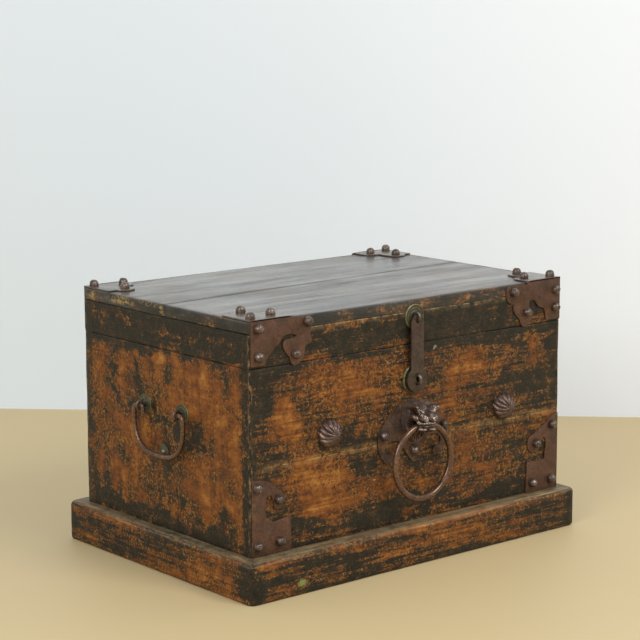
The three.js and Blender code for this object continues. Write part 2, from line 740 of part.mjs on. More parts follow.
// The beast mask: columns of points that climb from the chin to the ears, on a flat back
function maskGeometry() {
  const height = maskRise + maskDrop;
  const spots = [];
  const faces = [];
  for (let column = 0; column <= maskColumnCount; column += 1) {
    const u = 2 * column / maskColumnCount - 1;
    const foot = curveOver(maskChinShares, Math.abs(u));
    const head = curveOver(maskTopShares, Math.abs(u));
    for (let row = 0; row <= maskRowCount; row += 1) {
      const climb = row / maskRowCount;
      const v = foot + (head - foot) * (climb + maskMouthCrowdShare * Math.sin(fullTurn * climb));
      const edge = row === 0 || row === maskRowCount || column === 0 || column === maskColumnCount;
      spots.push(u * maskHalfWidth, v * height - maskDrop, edge ? 0 : maskDepth * faceHeight(u, v));
    }
  }
  const line = maskRowCount + 1;
  const last = maskColumnCount * line;
  for (let column = 0; column < maskColumnCount; column += 1) {
    for (let row = 0; row < maskRowCount; row += 1) {
      const low = column * line + row;
      faces.push(low, low + line, low + line + 1, low, low + line + 1, low + 1);
    }
  }
  const rim = [];
  for (let column = 0; column < maskColumnCount; column += 1) rim.push(column * line);
  for (let row = 0; row < maskRowCount; row += 1) rim.push(last + row);
  for (let column = maskColumnCount; column > 0; column -= 1) rim.push(column * line + maskRowCount);
  for (let row = maskRowCount; row > 0; row -= 1) rim.push(row);
  const middle = spots.length / 3;
  spots.push(0, 0, 0);
  rim.forEach((corner, i) => faces.push(rim[(i + 1) % rim.length], corner, middle));
  const geometry = new THREE.BufferGeometry();
  geometry.setAttribute('position', new THREE.Float32BufferAttribute(spots, 3));
  geometry.setIndex(faces);
  return geometry;
}

// The room that the ring sweeps as it turns in the mouth: narrow in the middle and wider to both sides
function mouthRoom() {
  const profile = [[0, -maskHalfWidth - overrun]];
  for (let i = -mouthSteps; i <= mouthSteps; i += 1) {
    const x = (maskHalfWidth + overrun) * i / mouthSteps;
    const arch = Math.sqrt(ringRadius ** 2 - x ** 2);
    profile.push([ringClearance + ringWire * ringRadius / arch + ringRadius - arch, x]);
  }
  profile.push([0, maskHalfWidth + overrun]);
  const points = profile.map(([radius, along]) => new THREE.Vector2(radius, along));
  return new THREE.LatheGeometry(points, mouthSides).rotateZ(-quarterTurn);
}

function makeHandle() {
  const maskFoot = plateThickness + 2 * boardGap;
  const inside = -(wallThickness + boardGap + clenchRadius);
  const tang = roundBar(maskTangRadius, inside, maskFoot + maskRim).translate(0, maskTangRise, 0);
  const clench = clenchBar(inside).translate(0, maskTangRise, 0);
  const head = fused([maskGeometry().rotateZ(-maskTiltAngle).translate(0, 0, maskFoot), tang, clench]);
  const mask = pierced(head, [mouthRoom().translate(0, 0, ringPivotOut)]);
  const ring = new THREE.TorusGeometry(ringRadius, ringWire, ringSides, ringSteps);
  const backplate = addPart(front, 'handle_backplate', backplateGeometry(), rustedIron);
  backplate.position.set(handleX, backplateFootZ, boardGap);
  addPart(front, 'handle_mask', mask, castIron).position.set(handleX, ringPivotZ, 0);
  addPart(front, 'handle_ring', ring, castIron).position.set(handleX, ringPivotZ - ringRadius, ringPivotOut);
}

// A boss of swirling ribs that run together at its crown, on a tang that stops in the wood
function ribbedBoss() {
  const spokes = bossRibCount * bossRibSteps;
  const point = (t, share) => {
    const climb = t * quarterTurn;
    const valley = 1 - Math.abs(Math.sin(share * bossRibCount * halfTurn));
    const fade = Math.sin(halfTurn * Math.min(1, t + bossRimShare)) * (t > 0 ? 1 : 0);
    const size = 1 - (bossRibDepth / bossRadius) * valley * fade;
    const turn = share * fullTurn + bossTwistAngle * t;
    const radius = bossRadius * Math.cos(climb) * size;
    return [radius * Math.cos(turn), radius * Math.sin(turn), bossHeight * Math.sin(climb) * size];
  };
  const tang = roundBar(bossTangRadius, -bossTangReach, bossHeight / 2);
  return fused([relief(bossRings, spokes, point), tang]);
}

function makeBosses() {
  addPart(front, 'boss_left', ribbedBoss(), castIron).position.set(leftBossX, leftBossZ, boardGap);
  addPart(front, 'boss_right', ribbedBoss(), castIron).position.set(rightBossX, rightBossZ, boardGap);
}

// The swinging bar: its ends turn inward through the eyes, with their tips bent down
function bailGeometry() {
  const eye = bailEyeSpacing / 2;
  const tip = eye - bailTipReach;
  const straight = eye - bailTipReach + 2 * bailWire;
  const arm = bailArmShares.map(([across, down]) => [across * bailSpread / 2, down * bailDrop, 0]);
  const hook = [[tip, -bailTip, 0], [tip + bailWire / 2, -bailWire, 0], [straight - bailWire, 0, 0]];
  const half = [...hook, [eye, 0, 0], ...arm];
  const other = half.slice(0, -1).reverse().map(([x, y, z]) => [-x, y, z]);
  return bentWire([...half, ...other], bailWire, bailSteps);
}

function makeBail(frame, side) {
  const eyeRadius = bailWire + bailClearance + bailEyeWire;
  const reach = eyeRadius + bailEyeWire;
  for (const [end, sign] of [['a', -1], ['b', 1]]) {
    const x = sign * bailEyeSpacing / 2;
    const disc = rosette(bailRosetteShares, bailRosetteRadius, bailRosetteHeight, reach, bailPivotOut);
    const staple = loopStaple(eyeRadius, bailEyeWire, bailPivotOut);
    addPart(frame, `${side}_rosette_${end}`, disc, greenBrass).position.set(x, bailZ, boardGap);
    addPart(frame, `${side}_eye_staple_${end}`, staple, rustedIron).position.set(x, bailZ, 0);
  }
  addPart(frame, `${side}_bail`, bailGeometry(), castIron).position.set(0, bailZ, bailPivotOut);
  const hole = shankRadius + boardGap;
  const rim = strikerHeight / 2;
  const edge = [[strikerRadius, 0], [strikerRadius, rim]];
  const disc = turned([[hole, 0], ...edge, [hole, strikerHeight], [hole, 0]], discSides);
  addPart(frame, `${side}_striker_plate`, disc, greenBrass).position.set(0, strikerZ, boardGap);
  const head = studShares.map(([across, up]) => [across * strikerHeadRadius, up * strikerHeadHeight]);
  const shank = [[0, -strikerNailReach], [shankRadius, -strikerNailReach], [shankRadius, 0]];
  const nail = turned([...shank, [studFootShare * strikerHeadRadius, 0], ...head], shankSides);
  const nailSeat = strikerHeight + 2 * boardGap;
  addPart(frame, `${side}_striker_nail`, nail, rustedIron).position.set(0, strikerZ, nailSeat);
}

// Lid loop of a hinge: a bar through the wall's eye and two legs that rise into the lid, bent up inside
function hingeLoopGeometry() {
  const inside = -(wallThickness + boardGap + hingeWire);
  const half = [
    [-hingeLegSpread, hingeLegRise + hingeTailRise, inside],
    [-hingeLegSpread, hingeLegRise + hingeWire, inside],
    [-hingeLegSpread, hingeLegRise, -wallThickness],
    [-hingeLegSpread, hingeLegRise, -wallThickness / 2],
    [-hingeLegSpread, hingeLegRise, 0],
    [-hingeLegSpread, hingeLegRise - hingeWire, hingeOut / 2],
    [-hingeLegSpread, hingeLegRise / 2, hingeOut],
    [-hingeLegSpread, hingeWire, hingeOut],
    [-hingeLegSpread + hingeWire, 0, hingeOut],
    [0, 0, hingeOut],
  ];
  const other = half.slice(0, -1).reverse().map(([x, y, z]) => [-x, y, z]);
  return bentWire([...half, ...other], hingeWire, hingeSteps);
}

function makeHinges() {
  const eyeRadius = hingeWire + hingeClearance + hingeEyeWire;
  for (const [side, x] of [['left', hingeX], ['right', -hingeX]]) {
    const eye = loopStaple(eyeRadius, hingeEyeWire, hingeOut);
    addPart(back, `hinge_eye_${side}`, eye, rustedIron).position.set(x, hingeZ, 0);
    addPart(back, `hinge_loop_${side}`, hingeLoopGeometry(), rustedIron).position.set(x, hingeZ, 0);
  }
}

// The middle of the chest's whole footprint stands on the origin
function centreFootprint() {
  const reach = new THREE.Box3().setFromObject(chest);
  chest.position.y = -(reach.min.y + reach.max.y) / 2;
}

makePlinth();
makeWalls();
makeBottom();
makeLidSkirts();
topBoard('lid_top_front_board', -1);
topBoard('lid_top_back_board', 1);
lidCornerIron(front, 'lid_iron_front_left', 1, leftLidIronShares, leftLidIronStudShares);
lidCornerIron(front, 'lid_iron_front_right', -1, rightLidIronShares, rightLidIronStudShares);
lidCornerIron(back, 'lid_iron_back_right', 1, leftLidIronShares, leftLidIronStudShares);
lidCornerIron(back, 'lid_iron_back_left', -1, rightLidIronShares, rightLidIronStudShares);
baseCornerIron('base_iron_left', 1, leftBaseIronShares, leftBaseIronStudShares);
baseCornerIron('base_iron_right', -1, rightBaseIronShares, rightBaseIronStudShares);
makeHasp();
makeHandle();
makeBosses();
makeBail(left, 'left');
makeBail(right, 'right');
makeHinges();
centreFootprint();

export default chest;
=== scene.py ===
import random
from math import atan2, copysign, cos, dist, exp, hypot, pi, radians, sin, sqrt

import bmesh
import bpy
from mathutils import Matrix, Vector, noise


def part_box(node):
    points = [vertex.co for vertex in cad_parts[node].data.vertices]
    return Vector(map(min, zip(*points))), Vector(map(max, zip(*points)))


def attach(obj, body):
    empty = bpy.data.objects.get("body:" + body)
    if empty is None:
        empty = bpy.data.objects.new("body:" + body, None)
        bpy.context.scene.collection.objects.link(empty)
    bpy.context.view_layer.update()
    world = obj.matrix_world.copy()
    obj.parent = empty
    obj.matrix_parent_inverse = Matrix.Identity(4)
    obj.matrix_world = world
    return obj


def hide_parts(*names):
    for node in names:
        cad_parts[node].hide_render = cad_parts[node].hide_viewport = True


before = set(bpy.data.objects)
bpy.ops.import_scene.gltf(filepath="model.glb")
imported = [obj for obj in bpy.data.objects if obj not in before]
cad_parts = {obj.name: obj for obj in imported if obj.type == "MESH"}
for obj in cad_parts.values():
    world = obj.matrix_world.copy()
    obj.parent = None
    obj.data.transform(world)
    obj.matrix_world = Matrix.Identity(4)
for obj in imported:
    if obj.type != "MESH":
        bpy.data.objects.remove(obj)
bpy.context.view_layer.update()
scene = bpy.context.scene

MM = 0.001

# Planes of the chest, in metres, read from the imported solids
FRONT_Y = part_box("front_upper_board")[0].y
BACK_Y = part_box("back_upper_board")[1].y
LEFT_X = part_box("left_end_board")[0].x
TOP_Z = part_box("lid_top_front_board")[1].z
PLINTH_LOW, PLINTH_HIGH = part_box("plinth_front")
PLINTH_TOP = PLINTH_HIGH.z
PLINTH_MID_Y = (PLINTH_LOW.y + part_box("plinth_back")[1].y) / 2
SKIRT_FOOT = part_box("lid_front_skirt")[0].z
MID_Y = (FRONT_Y + BACK_Y) / 2
HALF_X = -LEFT_X
HALF_Y = (BACK_Y - FRONT_Y) / 2

# Camera at the photograph's viewing angle, in metres and degrees
LENS = 113.68
CAMERA_PLACE = (-2.3718, -2.7980, 1.0494)
CAMERA_TILT = 80.022
CAMERA_ROLL = 0.126
CAMERA_HEADING = -40.087


def added(name, data):
    """A new object in the scene."""
    made = bpy.data.objects.new(name, data)
    scene.collection.objects.link(made)
    return made


camera = added("camera", bpy.data.cameras.new("camera"))
camera.data.lens = LENS
camera.data.sensor_width = 36
camera.location = CAMERA_PLACE
camera.rotation_euler = [radians(turn) for turn in (CAMERA_TILT, CAMERA_ROLL, CAMERA_HEADING)]
scene.camera = camera


# Materials as nodes

def srgb(red, green, blue):
    def linear(value):
        value /= 255
        return value / 12.92 if value <= 0.04045 else ((value + 0.055) / 1.055) ** 2.4
    return (linear(red), linear(green), linear(blue), 1)


class Signal:
    """A number, place or colour that a material's nodes work out. Its operators and methods add nodes."""

    def __init__(self, tree, socket):
        self.tree = tree
        self.socket = socket

    def worked(self, operation, *others):
        kind = "Math" if self.socket.type == "VALUE" else "VectorMath"
        return self.tree.node(kind, (self, *others), operation=operation)

    def __add__(self, other):
        return self.worked("ADD", other)

    def __sub__(self, other):
        return self.worked("SUBTRACT", other)

    def __rsub__(self, other):
        return self.tree.node("Math", (other, self), operation="SUBTRACT")

    def __mul__(self, other):
        return self.worked("MULTIPLY", other)

    def __abs__(self):
        return self.worked("ABSOLUTE")

    def split(self):
        """The x, y and z of a place."""
        return [self.tree.node("SeparateXYZ", (self,), axis) for axis in "XYZ"]

    def noise(self, scale, detail=5, roughness=0.55, distortion=0, output="Fac"):
        levels = {"Scale": scale, "Detail": detail, "Roughness": roughness, "Distortion": distortion}
        return self.tree.node("TexNoise", {"Vector": self, **levels}, output)

    def drift(self, scale, detail, roughness=0.55):
        """Random shifts about zero."""
        return self.noise(scale, detail, roughness, output="Color") - (0.5, 0.5, 0.5)

    def between(self, low, high, to_low=0, to_high=1):
        """Goes softly from one value to another while the signal goes from low to high."""
        return self.tree.node("MapRange", (self, low, high, to_low, to_high), interpolation_type="SMOOTHSTEP")

    def spread(self, amount, offset=0.0):
        """A noise value about zero, times an amount."""
        return self.worked("MULTIPLY_ADD", amount, offset - amount / 2)

    def ramp(self, *stops):
        """A colour from a scale, given by places and the red, green and blue there."""
        made = self.tree.node("ValToRGB", (self,))
        elements = made.socket.node.color_ramp.elements
        while len(elements) < len(stops):
            elements.new(0.5)
        for element, (place, *colour) in zip(elements, stops):
            element.position = place
            element.color = srgb(*colour)
        return made

    def blot(self, centre, reach, amount):
        """A soft-edged patch of the given reach round a point, worth amount in its middle."""
        scaled = (self - centre) * tuple(1 / value for value in reach)
        away = self.tree.node("VectorMath", (scaled,), "Value", operation="LENGTH")
        return away.between(0.35, 1.25, amount, 0)


class Tree:
    """A material's nodes, and the colour painted with them so far."""

    def __init__(self, name):
        self.material = bpy.data.materials.new(name)
        self.material.use_nodes = True
        self.nodes = self.material.node_tree.nodes
        self.links = self.material.node_tree.links
        self.place = self.node("TexCoord", (), "Object")
        self.colour = None

    def put(self, socket, value):
        """Links a signal to a socket, or sets a number, a vector or a colour of three bytes there."""
        if isinstance(value, Signal):
            self.links.new(value.socket, socket)
        elif socket.type == "RGBA":
            socket.default_value = srgb(*value)
        elif socket.type == "VECTOR" and not isinstance(value, tuple):
            socket.default_value = (value, value, value)
        else:
            socket.default_value = value

    def node(self, kind, inputs, output=0, **settings):
        """Adds a node with the given inputs, by their order or names, and gives one of its outputs."""
        made = self.nodes.new("ShaderNode" + kind)
        for name, value in settings.items():
            setattr(made, name, value)
        for key, value in inputs.items() if isinstance(inputs, dict) else enumerate(inputs):
            self.put(made.inputs[key], value)
        return Signal(self, made.outputs[output])

    def mix(self, share, first, second):
        return self.node("Mix", {"Factor": share, 6: first, 7: second}, 2, data_type="RGBA")

    def paint(self, share, colour):
        """Lays a share of another colour over the colour so far."""
        self.colour = self.mix(share, self.colour, colour)

    def shade(self, levels, relief=None, strength=0.4, depth=0.001):
        """Puts the painted colour, the shader's other levels and a relief into the shader."""
        if relief:
            levels["Normal"] = self.node("Bump", {"Strength": strength, "Distance": depth, "Height": relief})
        levels["Base Color"] = self.colour
        for name, value in levels.items():
            self.put(self.nodes["Principled BSDF"].inputs[name], value)
        return self.material


# Worn patches of the front, as x, z, half width, half height in millimetres, and strength
FRONT_PATCHES = [
    (-292, 332, 26, 30, 0.5), (-284, 290, 15, 34, 0.42), (-225, 376, 70, 18, 0.3),
    (-190, 345, 90, 22, 0.26), (-175, 322, 95, 16, 0.26), (-140, 374, 60, 14, 0.14),
    (-215, 190, 95, 30, 0.24), (-190, 152, 78, 36, 0.3), (-248, 142, 36, 26, 0.22),
    (-185, 118, 26, 14, 0.22), (-80, 165, 50, 50, 0.1), (140, 356, 30, 34, 0.26),
    (128, 328, 48, 16, 0.24), (310, 366, 24, 20, 0.28), (300, 326, 22, 26, 0.14),
    (180, 182, 120, 30, 0.1), (205, 145, 80, 24, 0.08), (-20, 92, 16, 16, 0.35), (60, 300, 50, 70, 0.04),
    (-150, 268, 100, 36, 0.06), (-225, 338, 60, 6, -0.3), (-205, 325, 60, 5, -0.3),
    (-250, 112, 80, 14, -0.35), (-60, 105, 110, 16, -0.35), (150, 98, 190, 15, -0.3),
    (-110, 190, 40, 16, -0.25), (0, 198, 90, 26, -0.12), (-345, 330, 24, 90, -0.24),
    (330, 270, 60, 60, -0.16), (250, 285, 60, 24, -0.1), (352, 330, 16, 100, -0.25),
    (40, 345, 40, 50, -0.12), (-330, 120, 44, 60, -0.1), (-240, 440, 70, 12, 0.14),
    (-160, 446, 60, 7, 0.3), (-90, 458, 70, 9, 0.22), (-150, 462, 90, 7, 0.18), (120, 425, 200, 26, -0.1),
    (-130, 415, 180, 18, -0.08), (-240, 395, 40, 12, 0.14),
]

# The same for the end that faces left, as distance towards the front, z, half width, half height and strength
END_PATCHES = [
    (-20, 372, 34, 22, 0.24), (-110, 360, 50, 20, 0.22), (-110, 312, 36, 18, 0.16),
    (100, 360, 60, 34, 0.24), (75, 362, 16, 12, 0.2), (200, 385, 40, 14, 0.28), (150, 300, 40, 60, 0.22),
    (175, 335, 40, 30, 0.14), (-30, 240, 60, 24, 0.26), (-95, 235, 24, 30, 0.18),
    (-80, 140, 110, 40, 0.14), (-140, 160, 26, 24, 0.2), (30, 110, 40, 20, 0.26),
    (120, 130, 40, 36, 0.24), (150, 130, 30, 30, 0.16), (200, 250, 30, 30, 0.18), (60, 200, 80, 20, 0.12),
    (195, 150, 20, 20, 0.16), (-170, 300, 50, 90, 0.08), (-220, 190, 24, 80, 0.06),
    (-150, 330, 14, 26, -0.28), (-90, 345, 12, 34, -0.36), (-75, 372, 26, 12, -0.28),
    (-140, 270, 12, 40, -0.3), (-135, 210, 30, 24, -0.2), (105, 270, 26, 34, -0.3),
    (85, 245, 14, 20, -0.26), (0, 165, 18, 70, -0.24), (0, 200, 26, 16, -0.14), (10, 330, 22, 30, -0.2),
    (-237, 290, 12, 140, -0.4), (232, 260, 14, 150, -0.4), (55, 125, 14, 26, -0.2),
    (175, 125, 26, 26, -0.18), (60, 370, 14, 20, -0.18), (0, 92, 260, 10, -0.35),
    (-100, 390, 130, 9, -0.4), (180, 360, 12, 26, -0.14), (-228, 125, 26, 16, -0.22),
    (120, 430, 60, 18, 0.26), (-190, 430, 40, 24, 0.2), (-115, 425, 26, 14, 0.32), (5, 418, 14, 14, 0.3),
    (60, 415, 40, 8, 0.2), (-60, 425, 70, 24, -0.1), (120, 462, 40, 8, 0.22), (-120, 462, 60, 7, 0.34),
    (-215, 462, 20, 7, 0.24),
]


# Small marks on the front and on the front rail of the plinth: place, reach, strength and colour
FRONT_MARKS = [
    ((0.0487, FRONT_Y, 0.3803), (0.003, 0.05, 0.003), 0.7, (150, 138, 116)),
    ((-0.092, FRONT_Y, 0.1641), (0.0018, 0.05, 0.0018), 0.9, (176, 168, 150)),
]
RAIL_MARKS = [
    ((-0.2825, PLINTH_LOW.y, 0.0216), (0.0105, 0.03, 0.007), 0.9, (122, 136, 80)),
    ((0.0159, PLINTH_LOW.y, 0.0646), (0.006, 0.03, 0.005), 0.8, (44, 33, 22)),
    ((0.0159, PLINTH_LOW.y, 0.0646), (0.0025, 0.03, 0.0025), 0.8, (128, 100, 66)),
]

# Pale scratched lines along seams: height, two places along x, strength and colour
FRONT_SEAM = (0.2237, -0.37, 0.42, 0.9, (190, 150, 92))
LID_FRONT_SEAM = (0.4507, -0.3, 0.32, 0.7, (172, 148, 104))


def seam_light(tree, level, x_low, x_high, strength, colour):
    """Paints a pale scratched line along a seam."""
    x, y, z = tree.place.split()
    height = tree.place.noise(9, 3, 0.6).worked("MULTIPLY_ADD", 0.003, level - 0.0015)
    away = abs(z - height)
    line = away.between(0.0003, 0.0015, 1, 0).worked("MAXIMUM", away.between(0.001, 0.011, 0.26, 0))
    broken = tree.place.noise(60, 5, 0.7).between(0.38, 0.6)
    along = x.between(x_low, x_low + 0.06) * x.between(x_high - 0.06, x_high, 1, 0)
    tree.paint(line * (broken * along) * strength, colour)


def lacquer(name, along, bias, patches=(), foot_band=0, combed=0.5, wiped=0.8, rail=False, marks=(), seam=()):
    """Worn lacquer whose grain runs along an axis, combed along the grain and wiped down across it."""
    tree = Tree(name)
    place = tree.place
    along_x = along == "x"
    grained = place * ((0.45, 1, 1) if along_x else (1, 0.45, 1))
    haired = place * ((0.05, 1, 1) if along_x else (1, 0.05, 1))
    hung = place * (1, 1, 0.24 if along_x else 0.2)
    ripple = place.drift(80, 5, 0.75)
    moved = place + grained.drift(20, 4, 0.6) * 0.1 + ripple * 0.05
    large = grained.noise(12, 4, 0.6)
    middle = place.noise(48, 7, 0.75)
    crackle = place.noise(170, 7, 0.8, 0.4)
    streak = haired.noise(105 if rail else 150, 7, 0.72)
    hair = haired.noise(520, 4, 0.62)
    drip = hung.noise(40, 3, 0.55)
    # field is how far the wear has gone: dark lacquer below, bare wood above
    field = large.spread(1.0, bias) + middle.spread(1.0) + drip.spread(wiped) + streak.spread(combed)
    for across, up, wide, high, amount in patches:
        if along_x:
            field += moved.blot((across * MM, FRONT_Y, up * MM), (wide * MM, 10, high * MM), amount)
        else:
            field += moved.blot((LEFT_X, MID_Y - across * MM, up * MM), (10, wide * MM, high * MM), amount)
    x, y, z = place.split()
    if foot_band:
        field += z.between(0.074, 0.11, -foot_band, 0)
        field += z.between(SKIRT_FOOT - 0.024, SKIRT_FOOT - 0.006, 0, -0.26)
    # lacquer stays beside the upright arrises, and in a broader band on the rails
    low_x, low_y, mid_y = (PLINTH_LOW.x, PLINTH_LOW.y, PLINTH_MID_Y) if rail else (LEFT_X, FRONT_Y, MID_Y)
    full, gone, kept = (0.032, 0.062, -0.3) if rail else (0.02, 0.05, -0.22)
    upright = abs(abs(x) + low_x) + abs(abs(y - mid_y) + (low_y - mid_y))
    field += (middle * 0.04 + upright).between(full, gone, kept, 0)
    if rail:
        # the upper arris of a rail is rubbed bare
        field += z.between(PLINTH_TOP - 0.026, PLINTH_TOP - 0.009, 0, 0.2 if along_x else 0.02)
    # bare wood: ochre where it is scuffed and red-brown where thin lacquer is left
    tone = field.spread(0.75, 0.35) + middle.spread(0.9) + large.spread(0.6)
    tone = tone + drip.spread(0.8 * wiped) + streak.spread(0.6 * combed)
    tree.colour = tone.ramp(
        (0.1, 56, 32, 15), (0.32, 84, 45, 18), (0.54, 114, 64, 23), (0.76, 138, 84, 32), (1.0, 166, 118, 56))
    thin = (field + crackle.spread(0.9) + drip.spread(0.4 * wiped)).between(0.4, 0.68, 0.85, 0)
    brown = middle.spread(1.0, 0.5) + hair.spread(0.4)
    tree.paint(thin, brown.ramp((0.25, 44, 29, 18), (0.5, 66, 41, 22), (0.75, 88, 55, 27)))
    # specks of ochre and of dark lacquer all over, and flakes of bright ochre where the lacquer gives out
    torn = (place + (1.3, 0.6, 2.1)).noise(210, 6, 0.8, 0.3)
    busy = (place + (0.9, 0.4, 1.6)).noise(15, 5, 0.65).between(0.44, 0.58, 0.1, 1)
    tree.paint(torn.between(0.52, 0.58) * (busy * 0.5), (168, 116, 48))
    tree.paint(torn.between(0.42, 0.48, 1, 0) * (busy * 0.7), (46, 31, 16))
    edge = field + crackle.spread(0.5 if rail else 0.8)
    edge = edge + (place + (0.2, 1.7, 0.9)).noise(92, 6, 0.8, 0.3).spread(0.3 if rail else 0.65)
    edge = edge + (haired + (2.3, 1.1, 0.7)).noise(130 if rail else 190, 6, 0.72).spread(combed)
    rim = edge.between(0.34, 0.42) * edge.between(0.46, 0.58, 1, 0)
    tree.paint(rim * torn.between(0.5, 0.58, 0, 0.85), (158, 112, 52))
    # green-black lacquer, crackled where it gives out, with specks of brown in it
    dark = edge.between(0.29, 0.45, 0.95, 0)
    cool = middle.spread(1.1, 0.5) + hair.spread(0.5) + torn.spread(1.0)
    tree.paint(dark, cool.ramp(
        (0.25, 20, 21, 16), (0.5, 32, 31, 23), (0.6, 46, 40, 28), (0.7, 66, 49, 29), (0.82, 96, 64, 33)))
    # hair lines along the grain, and pits
    tree.paint(hair.between(0.58, 0.68, 0, 0.3), (28, 22, 16))
    pits = place.noise(620, 3, 0.6)
    tree.paint(pits.between(0.58, 0.68, 0, 0.5), (24, 20, 15))
    tree.paint(pits.between(0.3, 0.38, 0.3, 0), (150, 104, 56))
    # rubbed specks on the arrises, and dust and worn streaks on the ledge of a rail
    specks = ((haired if rail else hung) + (0.7, 0.2, 1.1)).noise(300, 6, 0.72)
    if rail:
        ledge = z.between(PLINTH_TOP - 0.003, PLINTH_TOP - 0.0012)
        tree.paint(ledge * middle.between(0.4, 0.6, 0.4, 0.95), (108, 97, 74))
        tree.paint(ledge * (streak + hair.spread(0.8)).between(0.56, 0.66) * 0.7, (158, 134, 92))
        crown = z.between(PLINTH_TOP - 0.011, PLINTH_TOP - 0.005) - ledge
        rubbed = crown * specks.between(0.46, 0.62) * 0.4
    else:
        near = (middle * 0.02 + upright).between(0.008, 0.018, 1, 0)
        rubbed = near * specks.between(0.5, 0.58) * 0.75
    tree.paint(rubbed, (158, 129, 88))
    for centre, reach, amount, shade in marks:
        tree.paint((place + ripple * 0.02).blot(centre, reach, amount), shade)
    if seam:
        seam_light(tree, *seam)
    relief = hair * 0.5 + streak * 0.6 + crackle + dark * 0.4 + middle * 0.6
    rough = middle.spread(0.5, 0.52) + dark * -0.06
    return tree.shade({"Roughness": rough, "Specular IOR Level": 0.25}, relief, 0.4, 0.0012)


# How far the seam of the lid's top lies behind the middle, at its left end and at its right, in millimetres
SEAM = (-6, 35)

# Nails in the lid's top, and places on its left edge where the wood shows pale: centre and reach
LID_NAILS = [(-0.097, -0.209, TOP_Z), (0.139, -0.212, TOP_Z)]
LID_PALE = [
    ((LEFT_X, 0.133, 0.4635), (0.03, 0.046, 0.009)), ((LEFT_X, 0.01, 0.4636), (0.03, 0.008, 0.013)),
    ((LEFT_X, 0.2235, 0.4623), (0.03, 0.012, 0.009)), ((LEFT_X, 0.05, 0.468), (0.03, 0.03, 0.006)),
]


def lid_top_lacquer():
    """Satin lacquer with the grain along the lid's length, and worn dark lacquer down its edges."""
    tree = Tree("lid_top_lacquer")
    place = tree.place
    x, y, z = place.split()
    grained = place * (0.12, 1, 1)
    rings = ((grained + place.drift(3, 2) * 0.03) * (1, 1, 0.2)).noise(55, 7, 0.66)
    hair = (place * (0.03, 1, 1)).noise(520, 4, 0.6)
    cloud = place.noise(9, 5, 0.6)
    fine = place.noise(160, 5, 0.7)
    field = rings.spread(1.3, 0.45) + cloud.spread(0.9) + fine.spread(0.4)
    tree.colour = field.ramp((0.15, 36, 31, 26), (0.42, 60, 50, 41), (0.65, 86, 71, 55), (0.9, 118, 96, 70))
    tree.paint((cloud * 0.3 + x).between(-0.36, -0.02, 0.45, 0), (96, 70, 46))
    tree.paint(hair.between(0.55, 0.68, 0, 0.4), (32, 27, 22))
    spots = tree.node("TexVoronoi", {"Vector": place, "Scale": 30}, "Distance").between(0.02, 0.06, 0.6, 0)
    tree.paint(spots, (36, 29, 23))
    # the seam and the nails
    slope = (SEAM[1] - SEAM[0]) * MM / (2 * HALF_X)
    away = abs(y - (x * slope + (MID_Y + (SEAM[0] + SEAM[1]) / 2 * MM)))
    seam = away.between(0.0012, 0.0028, 0.9, 0).worked("MAXIMUM", away.between(0.002, 0.014, 0.35, 0))
    tree.paint(seam, (20, 17, 14))
    for centre in LID_NAILS:
        tree.paint(place.blot(centre, (0.0028, 0.0028, 0.02), 0.9), (24, 20, 17))
    # dark, worn lacquer along the rim and down the edges
    inward = (HALF_X - abs(x)).worked("MINIMUM", HALF_Y - abs(y - MID_Y))
    below = z.between(TOP_Z - 0.0035, TOP_Z - 0.001, 1, 0)
    rim = (cloud * 0.016 + inward).between(0.008, 0.026, 0.7, 0).worked("MAXIMUM", below)
    worn = (place * (0.3, 0.3, 1)).noise(60, 7, 0.75)
    edge = fine.spread(1.2, 0.41) + worn.spread(2.0) + cloud.spread(0.9)
    tree.paint(rim, edge.ramp(
        (0.1, 22, 22, 18), (0.4, 36, 34, 27), (0.52, 62, 45, 27), (0.64, 108, 70, 32), (0.85, 150, 112, 58)))
    pale = place.blot(*LID_PALE[0], 0.9)
    for centre, reach in LID_PALE[1:]:
        pale += place.blot(centre, reach, 0.9)
    patchy = (worn + fine.spread(0.8)).between(0.46, 0.56)
    tree.paint(tree.node("Math", (pale, patchy), operation="MULTIPLY", use_clamp=True), (146, 122, 66))
    polish = (grained + (0.3, 0.8, 0.1)).noise(16, 6, 0.65)
    coat = polish.spread(3.0, 0.6) + rings.spread(1.0) + rim * -0.5 - seam
    return tree.shade({
        "Roughness": cloud.spread(0.5, 0.38) + hair.spread(0.2) + below * 0.2,
        "Specular IOR Level": 0.6,
        "Coat Weight": tree.node("Math", (coat, 0), operation="ADD", use_clamp=True),
        "Coat Roughness": 0.22,
    }, rings * 0.8 + hair * 0.4 + spots, 0.4, 0.0009)


def bare_wood(name, stretch):
    """Unfinished softwood of the inside."""
    tree = Tree(name)
    streaked = tree.place * stretch
    rings = streaked.noise(60, 7, 0.65)
    hair = streaked.noise(420, 4, 0.6)
    field = rings.spread(1.2, 0.5) + tree.place.noise(8, 5, 0.6).spread(0.8)
    tree.colour = field.ramp((0.2, 92, 68, 45), (0.5, 128, 98, 66), (0.8, 152, 120, 84))
    tree.paint(hair.between(0.55, 0.7, 0, 0.3), (78, 56, 36))
    return tree.shade({"Roughness": 0.8}, rings + hair, 0.3, 0.0007)


